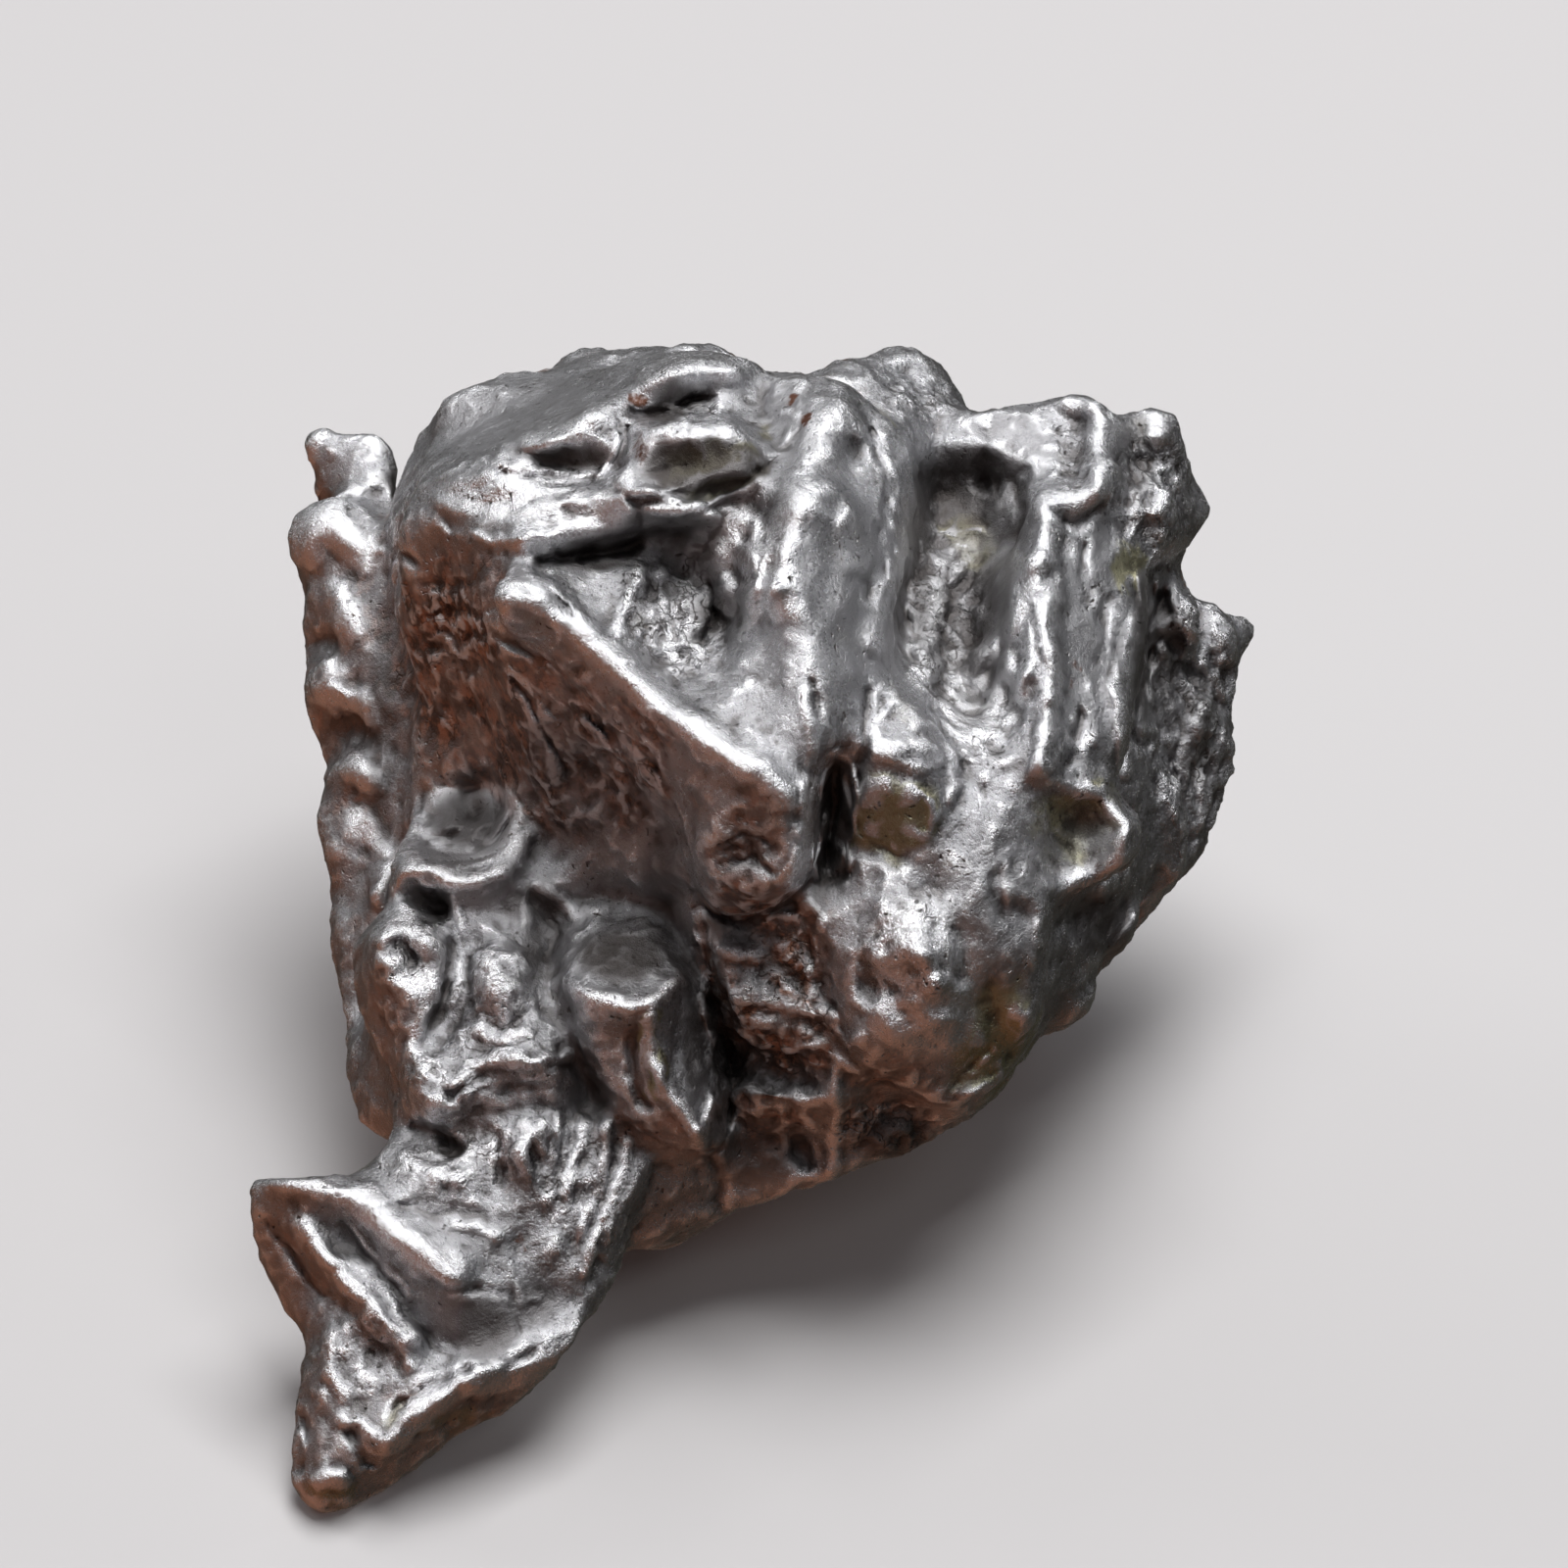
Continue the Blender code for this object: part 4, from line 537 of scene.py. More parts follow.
TONGUE_FOLDS = [
    (0.35, 0.4, [(-14.6, -4.1), (-13.9, -3.0), (-12.8, -3.0), (-11.8, -3.4), (-10.7, -3.3),
     (-9.7, -2.6), (-9.2, -1.8)]),
    (-0.35, 0.6, [(-13.6, -4.0), (-12.8, -4.3), (-12.1, -4.2)]),
    (0.45, 0.3, [(-11.7, -4.0), (-11.5, -5.0)]),
    (1.5, 1.6, [(-11.8, -1.4), (-10.8, -1.3)]),
    (0.4, 0.5, [(-14.3, -5.4), (-13.6, -4.8), (-12.9, -5.4), (-12.7, -6.0)]),
    (0.35, 0.5, [(-14.3, -6.5), (-13.4, -7.1), (-12.7, -6.7)]),
    (-0.15, 0.5, [(-13.6, -5.7), (-13.2, -6.2)]),
    (0.35, 0.4, [(-14.5, -7.1), (-13.4, -7.6), (-12.5, -7.2)]),
    (-0.45, 0.3, [(-12.0, -5.6), (-12.0, -7.2), (-12.6, -8.6)]),
    (-0.4, 0.25, [(-11.5, -6.2), (-11.3, -7.8), (-11.8, -8.8)]),
    (0.35, 0.25, [(-11.8, -6.4), (-11.7, -7.6), (-12.3, -8.6)]),
    (0.45, 1.0, [(-10.4, -7.4), (-10.2, -7.8)]),
    (0.35, 0.4, [(-11.0, -6.3), (-10.4, -6.6)]),
    (0.4, 0.4, [(-13.4, -9.4), (-12.1, -10.8), (-11.2, -10.3), (-10.1, -9.9), (-9.0, -9.9),
     (-7.9, -9.7)]),
    (0.4, 0.35, [(-12.8, -11.2), (-11.9, -11.7), (-11.2, -11.0)]),
    (-0.4, 0.3, [(-12.6, -10.2), (-12.0, -11.3), (-11.0, -10.7), (-9.8, -10.4)]),
    (0.35, 0.35, [(-11.0, -8.9), (-10.0, -9.2), (-9.2, -8.8)]),
    (-0.3, 0.25, [(-10.6, -8.4), (-9.9, -8.8), (-9.2, -8.3)]),
    (0.3, 0.35, [(-10.6, -11.4), (-9.4, -11.2), (-8.2, -11.4)]),
    (-0.5, 0.5, [(-12.0, -12.9), (-11.7, -13.1)]),
    (-0.5, 0.3, [(-13.2, -12.3), (-12.2, -12.6)]),
    (0.45, 0.32, [(-8.6, -12.2), (-9.3, -12.3), (-9.4, -13.2), (-9.2, -14.2)]),
    (-0.4, 0.26, [(-9.0, -12.8), (-8.9, -13.8)]),
    (-0.45, 0.26, [(-10.2, -12.6), (-10.2, -14.2)]),
    (0.3, 0.4, [(-12.6, -13.9), (-11.4, -14.2)]),
    (-0.3, 0.18, [(-12.4, -13.6), (-12.0, -14.6)]),
    (-0.3, 0.18, [(-11.8, -13.6), (-11.9, -14.8)]),
    (-0.2, 0.5, [(-14.2, -15.2), (-12.6, -15.2), (-10.8, -15.6)]),
    (0.3, 0.4, [(-11.8, -15.7), (-10.4, -16.2)]),
    (0.45, 0.32, [(-7.0, -12.1), (-7.4, -13.4), (-7.9, -14.6)]),
    (0.5, 0.32, [(-6.3, -12.3), (-6.5, -14.1), (-7.4, -16.3)]),
    (0.45, 0.32, [(-5.5, -12.9), (-6.0, -14.6), (-6.9, -16.9), (-7.2, -17.6)]),
    (0.4, 0.3, [(-4.8, -13.8), (-5.9, -15.4), (-6.3, -17.2)]),
    (0.35, 0.28, [(-8.0, -12.0), (-8.3, -13.6), (-8.6, -15.0)]),
]
BEAK_FOLDS = [
    (0.35, 0.9, [(-18.1, -14.0), (-16.8, -14.3), (-15.1, -15.0), (-13.9, -16.1), (-13.0, -16.7),
     (-11.7, -17.5)]),
    (0.35, 0.42, [(-17.1, -15.9), (-16.2, -16.9), (-15.2, -17.5), (-14.4, -18.3), (-13.7, -18.9),
     (-13.2, -19.7)]),
    (-0.3, 0.25, [(-16.0, -15.7), (-14.4, -17.8), (-13.0, -19.4), (-12.1, -20.7)]),
    (-0.35, 0.25, [(-18.3, -15.7), (-17.6, -16.9), (-16.7, -18.3)]),
    (-0.3, 0.2, [(-15.6, -15.6), (-14.4, -16.9), (-13.2, -18.2)]),
    (0.3, 0.35, [(-12.3, -20.5), (-11.8, -20.9)]),
    (0.35, 0.15, [(-9.4, -18.4), (-8.6, -18.3)]),
    (-0.3, 0.22, [(-12.0, -18.1), (-9.8, -18.2), (-9.5, -19.6)]),
    (-0.25, 0.22, [(-10.0, -20.9), (-8.9, -20.2)]),
]
TAIL_FOLDS = [
    (-0.2, 0.8, [(-15.1, -20.1), (-14.8, -20.5)]),
    (0.35, 0.4, [(-16.2, -19.6), (-16.4, -20.8), (-15.8, -21.8)]),
    (0.3, 0.4, [(-13.6, -19.9), (-13.4, -20.8)]),
    (0.45, 0.6, [(-14.1, -23.7), (-12.9, -22.4), (-11.3, -21.5), (-9.8, -21.2), (-8.6, -20.8),
     (-6.9, -19.7)]),
    (-0.45, 0.35, [(-13.9, -22.6), (-12.6, -21.6), (-11.4, -20.9)]),
    (0.5, 0.5, [(-16.6, -25.0), (-15.9, -25.0)]),
    (-0.4, 0.3, [(-17.2, -22.6), (-16.8, -23.6), (-17.3, -24.6)]),
    (-0.35, 0.4, [(-15.4, -23.2), (-14.9, -24.2)]),
    (-0.6, 0.28, [(-17.7, -25.3), (-17.3, -25.6)]),
    (0.3, 0.4, [(-16.6, -21.9), (-15.6, -22.8), (-14.6, -23.4)]),
]

# %% [markdown]
# What stands behind
#
# The lobe on the far left and the rough metal on the far right lie deeper, and their creases
# run across them.

# %% Marks behind
FAR_FOLDS = [
    (-0.5, 0.5, [(-17.3, 10.0), (-15.8, 9.7), (-14.6, 10.2)]),
    (0.5, 0.8, [(-17.0, 8.4), (-16.2, 8.9), (-15.0, 8.2)]),
    (0.45, 0.7, [(-16.0, 6.6), (-15.2, 5.6)]),
    (-0.4, 0.5, [(-16.6, 5.2), (-15.6, 4.6)]),
    (0.5, 0.8, [(-15.9, 3.2), (-15.0, 2.6)]),
    (-0.4, 0.5, [(-16.0, 1.8), (-14.9, 1.5)]),
    (0.4, 0.6, [(-15.6, 0.9), (-14.8, 0.2)]),
    (0.4, 0.6, [(-15.2, -1.4), (-14.6, -2.4)]),
    (-0.5, 0.5, [(13.4, 6.6), (14.4, 3.6), (14.0, 0.6)]),
    (0.4, 0.4, [(14.9, 4.6), (15.8, 3.2)]),
    (0.4, 0.4, [(14.2, 1.2), (15.0, 0.2), (15.0, -1.4)]),
    (-0.4, 0.4, [(13.4, -3.2), (11.4, -5.4)]),
    (0.4, 0.4, [(14.2, -3.4), (12.6, -5.0), (10.6, -7.0)]),
]

# %% [markdown]
# Broken edges and flat faces
#
# The crown ends in two broken edges, each a low step. Some flat faces lean more than those of
# the solid, so they are tilted towards or away from the light inside a soft oval.

# %% Steps and facets
CROWN_STEPS = [
    (0.4, 1.3, [(-9.8, 11.4), (-8.2, 11.1), (-6.6, 10.9), (-6.2, 11.6), (-5.8, 12.4)]),
    (0.3, 0.9, [(-5.9, 10.7), (-5.1, 10.1), (-2.1, 10.9), (-0.6, 11.5)]),
]
FACETS = [
    # The dark face of the ledge and the crown's rim lean out at their tops.
    (-3.2, 11.6, 2.5, 1.6, 0.0, 0.85),
    (-7.8, 11.8, 2.2, 0.9, 0.0, 0.6),
    # The pitted facet below the crown is turned to the light, and the gully's floor looks up.
    (-9.9, 10.3, 3.5, 1.5, 0.0, 0.75),
    (7.3, 2.2, 1.9, 1.7, 0.0, -0.2),
    # The small block: its top looks up, its front looks down.
    (4.1, 2.1, 1.0, 1.2, 0.0, -0.3),
    (3.6, -1.4, 1.8, 1.7, 0.05, 0.25),
    # The triangle between the beak and the tail.
    (-10.9, -19.2, 1.5, 1.5, 0.1, 0.15),
]
ALL_FOLDS = (
    CROWN_FOLDS + BEAM_FOLDS + HOLLOW_FOLDS + LIP_FOLDS + CHEEK_FOLDS + COLUMN_FOLDS + GULLY_FOLDS
    + SHOULDER_FOLDS + BLOCK_FOLDS + NOSE_FOLDS + BELLY_FOLDS + BULGE_FOLDS + EAR_FOLDS
    + KNUCKLE_FOLDS + TONGUE_FOLDS + BEAK_FOLDS + TAIL_FOLDS + FAR_FOLDS
)
ALL_STEPS = CROWN_STEPS + BELLY_STEPS + BULGE_STEPS

# %% [markdown]
# Nothing straight
#
# A path as drawn is too even: metal that tore and flowed has no straight line and no
# even ring. Slow noise shifts the places where the marks are read, so that each path wavers
# and swells by a few tenths of a millimetre, and a second noise makes each mark come and go.

# %% Work the marks in
WAVER = 0.34
WAVER_SIZE = 1.7
FINE_WAVER = 0.14
FINE_WAVER_SIZE = 0.6
STRENGTH_SIZE = 1.1
WEAKEST = 0.35
STRONGEST = 1.25


def noise_at(places, size, shift=(0, 0, 0)):
    """Soft noise at each place, with lumps of about this size in millimetres."""
    shift = Vector(shift)
    return np.array([noise.noise(Vector(place) / size + shift) for place in places.tolist()])


def wavered(slow_shift, fine_shift):
    slow_part = WAVER * noise_at(places, WAVER_SIZE, slow_shift)
    return slow_part + FINE_WAVER * noise_at(places, FINE_WAVER_SIZE, fine_shift)


waver = np.stack([wavered((0, 0, 0), (0, 0, 0)), wavered((9, 4, 2), (5, 8, 3))], axis=1)
come_and_go = 0.8 + 0.7 * noise_at(places, STRENGTH_SIZE, (2, 6, 11))
come_and_go = np.clip(come_and_go, WEAKEST, STRONGEST)
mark_places = seen_at(places) + waver
mark_lift = folds(ALL_FOLDS, mark_places) * come_and_go
mark_lift += steps(ALL_STEPS, mark_places) + facets(FACETS, mark_places)
mark_lift *= sight
# The raised marks are later made lighter in colour: rubbed metal and a painted highlight.
raised_wear_and_highlight = folds([mark for mark in ALL_FOLDS if mark[0] > 0], mark_places) * sight
places = places + mark_lift[:, None] * towards_eye
print(len(ALL_FOLDS) + len(ALL_STEPS), "marks move the skin from",
      round(float(mark_lift.min()), 2), "to", round(float(mark_lift.max()), 2), "mm")

# %% [markdown]
# Hammered all round
#
# No face of the real metal is flat. It is dented in steps of one to two millimetres, and where
# the crust was torn or cleaned away it is craggy: small scoops that meet in sharp crests. A
# cell pattern makes the dents, and folded noise turned upside down makes the crags. They cover
# the whole piece, so that the back is as finished as the front.

# %% Dents and crags
DENT_CELL = 1.6
DENT_DEPTH = 0.14
DENT_LEVEL = 0.15
CRAG_CELL = 1.15
CRAG_HEIGHT = 0.32
CRAG_LEVEL = 0.45
CRAG_LAYERS = 3
CHIP_CELL = 0.5
CHIP_HEIGHT = 0.05
BEND = 0.35
BEND_SIZE = 0.9


def dent_and_crag(place):
    """A dent's height, a crag's height and a chip's height at one place, in millimetres."""
    bend = BEND * noise.noise(place / BEND_SIZE)
    nearest = noise.voronoi(place / DENT_CELL + Vector((bend, -bend, bend)))[0][0]
    dent = DENT_DEPTH * (nearest * nearest - DENT_LEVEL)
    folded = noise.turbulence(place / CRAG_CELL, CRAG_LAYERS, True)
    crag = CRAG_HEIGHT * (CRAG_LEVEL - folded)
    chip = CHIP_HEIGHT * noise.noise(place / CHIP_CELL + Vector((bend, 7, 1)))
    return dent, crag, chip


made = np.array([dent_and_crag(Vector(place)) for place in places.tolist()])
dents, crags, chips = made.T
print("dents:", round(float(dents.min()), 2), "to", round(float(dents.max()), 2), "mm,",
      "crags:", round(float(crags.min()), 2), "to", round(float(crags.max()), 2), "mm")

# %% [markdown]
# Where it is rough
#
# Rough metal lies in the hollows that wear and cleaning don't reach. On the front these are
# placed one by one, each as a soft oval. On the back, the same roughness follows a slow noise.

# %% Rough places
ROUGH_OVALS = [
    # across, up, half width, half height, strength
    (-3.9, 6.0, 2.4, 2.6, 1.0),  # hollow
    (5.9, 6.0, 1.6, 3.6, 1.3),  # gully
    (7.2, 1.9, 2.2, 1.6, 0.5),  # gully's mouth
    (-1.4, -2.5, 1.5, 1.5, 1.0),  # pit in the nose
    (-5.8, -6.3, 2.0, 1.2, 0.35),  # knuckle's top
    (-0.6, -8.2, 2.8, 4.6, 1.0),  # belly
    (-11.8, 5.4, 1.8, 1.8, 0.9),  # cheek
    (-7.0, 0.6, 3.0, 3.0, 0.8),  # folds below the lip
    (3.9, -12.4, 2.4, 1.2, 1.2),  # under the bulge
    (-14.8, -20.4, 1.8, 1.8, 0.7),  # bowl of the tail
    (-9.8, -13.2, 4.8, 1.6, 0.6),  # middle of the tongue
    (-11.4, -8.4, 3.6, 4.2, 0.6),  # upper tongue
    (-13.4, -5.9, 1.3, 1.3, 0.6),  # ring on the tongue
    (13.2, 10.6, 1.6, 2.6, 0.8),  # shoulder's far side
    (14.8, 2.0, 2.0, 5.0, 0.9),  # right edge
    (-7.6, -15.4, 2.6, 2.6, 0.7),  # comb of folds
    (4.4, -6.4, 2.6, 3.4, 0.45),  # bulge
    (4.6, 13.6, 1.6, 1.2, 0.6),  # bump behind the column
    (-3.6, 13.3, 1.6, 0.6, 0.7),  # pits in the crown's rim
    (10.2, 11.8, 1.0, 1.6, 0.7),  # hollow of the shoulder
]
SMOOTH_OVALS = [
    (2.0, 8.6, 2.3, 6.6, 0.9),  # column
    (-8.4, 13.6, 5.0, 2.0, 0.25),  # crown
    (11.0, 5.6, 1.2, 4.4, 0.8),  # field right of the long ridge
    (8.0, 6.0, 1.1, 3.2, 0.8),  # slope beside the gully
    (-5.4, 4.0, 2.6, 1.4, 0.5),  # hollow's floor by the lip
    (-6.6, 8.9, 2.6, 0.8, 0.5),  # beam's lower side
    (-11.0, -19.2, 1.6, 1.6, 0.8),  # triangle by the beak
    (-11.4, -1.3, 1.8, 1.5, 0.7),  # cup
]


def ovals(marks, points):
    """A soft mask of ovals placed one by one."""
    mask = np.zeros(len(points))
    for across, up, half_width, half_height, strength in marks:
        reach = ((points[:, 0] - across) / half_width) ** 2
        reach += ((points[:, 1] - up) / half_height) ** 2
        mask = np.maximum(mask, strength * np.clip(1 - reach * reach, 0, 1))
    return mask


# %% Masks for the front and the back
SLOW_SIZE = 4.5
ROUGH_ROUNDS = 2
slow = noise_at(places, SLOW_SIZE, (3, 9, 27))


def on_the_front(marks, points):
    return ovals(marks, points) * sight


def on_the_back(gain, level, most=1.0):
    """A mask for the sides that the eye doesn't see, made from the slow noise."""
    return np.clip(gain * slow + level, 0, most) * (1 - sight)


rough = on_the_front(ROUGH_OVALS, seen_at(places)) + on_the_back(3.0, 0.1, 0.9)
rough = net.soften(rough, ROUGH_ROUNDS)
smooth = on_the_front(SMOOTH_OVALS, seen_at(places))
print("share of the skin that is rough:", round(float((rough > 0.3).mean()), 2))

# %% [markdown]
# Press the relief in
#
# Rough places take most of the crags, smooth places lose most of the dents, and the far lobe on
# the left swells into lumps. At the end each point moves a little further from the mean of its
# neighbours, which sharpens every crest at once.

# %% Press the relief in
PLAIN_CRAGS = 0.25
ROUGH_CRAGS = 0.85
DENTS_LOST = 0.7
LOBE = [(-16.2, 4.0, 2.6, 11.0, 1.0)]
LOBE_SWELL = 0.7
LOBE_SWELL_SIZE = 2.8
CRISP_ROUNDS = 20
CRISP_SHARE = 0.25
swells = LOBE_SWELL * noise_at(places, LOBE_SWELL_SIZE)
relief = (dents + chips) * (1 - DENTS_LOST * smooth)
relief += crags * (PLAIN_CRAGS * (1 - smooth) + ROUGH_CRAGS * rough)
relief += swells * ovals(LOBE, seen_at(places))
places = places + relief[:, None] * net.outward(places)
crisp = net.soften(places, CRISP_ROUNDS)
places = places + CRISP_SHARE * (places - crisp)
print("the relief runs from", round(float(relief.min()), 2), "to", round(float(relief.max()), 2), "mm")

# %% [markdown]
# Where the metal is rubbed, and where highlight and shade are painted
#
# The finish follows the form: ridges are lighter, as rubbed metal and as a painted highlight,
# and creases and sheltered recesses are darker, as painted shade. Each of these is worked out
# from the mesh itself: how far a point stands out from the mean of its neighbours, and how much
# of its own sky is closed off by other metal.

# %% Ridges, seams and shelter, for painted highlight and painted shade
SKY_RAYS = 40
SKY_REACH = 10.0
SKY_STEP = 12
SKY_ROUNDS = 14
RAY_START = 0.25
GRAZING = 0.05
RELIEF_ROUNDS = 10


def sky_directions():
    """Evenly spread directions over the whole ball."""
    golden = math.pi * (3 - math.sqrt(5))
    rays = []
    for ray in range(SKY_RAYS):
        height = 1 - (2 * ray + 1) / SKY_RAYS
        radius = math.sqrt(1 - height * height)
        rays.append(Vector((radius * math.cos(golden * ray), radius * math.sin(golden * ray), height)))
    return rays


def shelter_of(places, normals):
    """The share of each point's sky that other metal closes off, worked out at every few points."""
    tree = BVHTree.FromPolygons(places.tolist(), net.squares.tolist())
    rays = sky_directions()
    known = np.zeros(net.size)
    closed_off = np.zeros(net.size)
    for index in range(0, net.size, SKY_STEP):
        normal = Vector(normals[index])
        start = Vector(places[index]) + RAY_START * normal
        weight = 0.0
        closed = 0.0
        for ray in rays:
            facing = ray.dot(normal)
            if facing > GRAZING:
                weight += facing
                if tree.ray_cast(start, ray, SKY_REACH)[0] is not None:
                    closed += facing
        known[index] = 1.0
        closed_off[index] = closed / weight
    known = np.maximum(net.soften(known, SKY_ROUNDS), 1e-6)
    return net.soften(closed_off, SKY_ROUNDS) / known


normals = net.outward(places)
# Crests are later made lighter and creases darker in colour: painted highlight and painted shade.
fine_relief = np.sum((places - net.soften(places, RELIEF_ROUNDS)) * normals, axis=1)
# The share of closed-off sky later darkens the colour: painted shade in recesses.
shelter = shelter_of(places, normals)
print("shelter:", round(float(shelter.min()), 2), "to", round(float(shelter.max()), 2))

# %% [markdown]
# Stains, finishes, painted highlight and painted shade, one by one
#
# Many places on the front have their own colour or polish. There are rust spots in pits, pale
# olive oxide on some lower faces, and brown oxide on the cheek and the belly, which is left out
# in two places; on the front the brown is strongest on faces turned to the warm lower left, so
# it is also a painted warm reflection. Seams, ledges, clefts and recesses are darkened as painted
# shade, a few flat faces are pitted or made lighter as a painted highlight, and others are
# matte. All are soft ovals, whose edges the material breaks up. Placing them one by one is
# slow, but no rule tells where a piece was cleaned. The back follows the slow noise.

# %% Stains, finishes, painted highlight and painted shade, one by one
RUST_OVALS = [
    (-5.6, 13.9, 0.9, 0.6, 0.75),  # crown's rim
    (0.7, 13.6, 0.4, 0.5, 0.8),  # face left of the column's top
    (10.2, 3.9, 0.4, 0.8, 0.6),  # beside the long ridge
    (-5.0, 12.4, 0.4, 0.5, 0.6),  # end of the rim
    (5.6, 0.3, 0.6, 0.3, 0.6),  # corner of the small block
    (-4.6, 3.9, 0.4, 0.4, 0.6),  # hollow's floor by the lip
    (-9.3, -16.6, 0.3, 0.3, 0.6),  # lower tongue
]
OLIVE_OVALS = [
    (3.6, -1.2, 2.0, 1.8, 0.7),  # front of the small block
    (7.4, -9.0, 2.2, 2.6, 0.8),  # bulge's lower right side
    (12.1, 7.7, 0.9, 0.9, 0.9),  # raised strip's ring
    (-4.7, -9.8, 0.6, 2.0, 1.0),  # knuckle's shaft
    (10.6, -1.4, 1.6, 1.4, 0.6),  # ear
    (-1.6, 12.0, 1.0, 0.6, 0.7),  # ledge's right corner
    (-2.4, 11.2, 2.4, 1.2, 0.5),  # face of the ledge
    (-12.4, -22.9, 2.6, 0.8, 0.4),  # tail's lower edge
    (-16.4, -25.8, 1.2, 0.8, 0.5),  # tip of the tail
    (6.9, 8.6, 0.8, 1.4, 0.5),  # gully's right wall
    (4.2, 3.0, 0.8, 0.6, 0.3),  # top of the small block
]
# Painted shade: recesses, clefts, slots and faces under ledges are darkened here.
PAINTED_SHADE_OVALS = [
    (-2.8, 11.4, 2.8, 1.2, 1.0),  # face of the ledge
    (-5.8, -6.1, 2.1, 1.2, 0.85),  # knuckle's top
    (-11.3, -1.3, 1.9, 1.5, 0.75),  # cup
    (-10.7, -19.4, 1.7, 1.6, 0.65),  # triangle by the beak
    (-9.0, -18.6, 1.5, 1.3, 0.6),  # beside the triangle
    (13.6, 4.6, 1.0, 4.0, 0.6),  # right edge
    (14.8, 1.6, 1.6, 4.0, 0.5),  # right edge
    (-7.8, 11.7, 1.9, 0.45, 0.8),  # face of the left ledge
    (-4.3, 13.3, 1.0, 0.45, 0.9),  # pits in the crown's rim
    (-6.9, 8.0, 1.9, 0.5, 0.8),  # slot under the beam
    (-2.7, 6.1, 0.35, 0.9, 0.7),  # cleft in the hollow
    (6.0, 10.2, 1.2, 1.3, 0.75),  # head of the gully
    (7.9, 11.2, 1.6, 1.2, 0.5),  # face right of the gully's head
    (1.65, -1.2, 0.5, 1.6, 1.0),  # cleft beside the small block
    (3.9, -1.2, 2.1, 1.6, 0.4),  # front of the small block
    (1.3, -3.6, 0.6, 1.6, 0.6),  # foot of the cleft
    (-2.3, -9.0, 0.45, 4.2, 0.75),  # seam beside the belly
    (-8.2, 0.8, 2.6, 2.6, 0.55),  # folds below the lip
    (-12.7, -4.2, 1.0, 0.5, 0.75),  # under the cup's rim
    (-3.2, -9.4, 0.7, 2.6, 0.7),  # knuckle's shadowed side
    (-11.9, -13.0, 0.7, 0.5, 0.9),  # hole in the tongue
    (3.9, -12.6, 2.0, 1.1, 0.7),  # under the bulge
    (-1.2, -13.2, 2.6, 1.6, 0.6),  # foot of the belly
    (12.8, 5.0, 0.5, 4.0, 0.7),  # groove behind the strip
    (11.4, -5.0, 1.6, 1.6, 0.7),  # under the ear
    (6.6, 10.0, 2.0, 1.6, 0.7),  # head of the gully
    (4.9, 7.4, 0.6, 4.0, 0.65),  # gully's left wall
    (12.6, 11.4, 1.0, 2.4, 0.55),  # shoulder's far side
    (-1.4, -2.4, 1.5, 1.4, 0.55),  # pit in the nose
    (-6.4, -0.8, 3.4, 2.0, 0.5),  # below the lip's folds
    (-4.4, -3.4, 1.0, 3.0, 0.6),  # behind the knuckle
    (-14.4, 2.0, 0.7, 6.0, 0.6),  # gap before the far lobe
    (-8.9, -4.2, 1.8, 0.9, 0.6),  # corner by the cup
]
# Brown oxide; it is multiplied by the facing to the warm lower left, so on the front it is also a
# painted warm reflection.
OXIDE_AND_WARM_REFLECTION_OVALS = [
    (-12.0, 4.6, 2.8, 4.6, 1.0),  # cheek
    (-7.6, 1.4, 4.6, 3.6, 0.9),  # folds below the lip
    (-1.2, -1.6, 2.6, 2.2, 0.7),  # nose
    (-0.9, -8.0, 2.8, 6.4, 1.0),  # belly
    (3.8, -11.2, 2.8, 1.6, 0.6),  # under the bulge
    (-4.5, -10.8, 2.6, 3.6, 0.5),  # knuckle's shaft
    (-15.6, 4.0, 1.8, 8.0, 0.5),  # far lobe
    (-14.6, -7.0, 1.2, 4.0, 0.4),  # left flank of the tongue
    (-17.4, -17.4, 1.6, 2.6, 0.3),  # beak
    (-12.0, -22.6, 4.0, 1.2, 0.5),  # tail's lower edge
]
PITTED_OVALS = [
    (-10.2, 10.3, 3.4, 1.1, 1.0),  # pitted face under the crown
    (-8.4, 13.4, 5.0, 1.8, 0.8),  # crown
    (7.3, 2.0, 2.0, 1.7, 0.9),  # gully's mouth
    (-12.8, -13.4, 2.4, 1.5, 0.8),  # bright field on the tongue
    (-14.9, -20.4, 1.8, 1.6, 0.9),  # bowl of the tail
    (-6.2, 3.0, 3.6, 1.6, 0.6),  # lip
    (10.4, 11.8, 1.0, 1.6, 0.7),  # hollow of the shoulder
    (-1.4, -2.5, 1.5, 1.5, 0.8),  # pit in the nose
    (-12.2, 6.0, 2.4, 4.0, 0.8),  # cheek
]
# Places where the brown oxide and its painted warm reflection are left out.
BROWN_FREE_OVALS = [
    (-8.8, 6.2, 2.1, 1.7, 1.0),  # knob at the lip's upper end
    (5.6, -6.0, 3.6, 3.4, 1.0),  # bulge
]
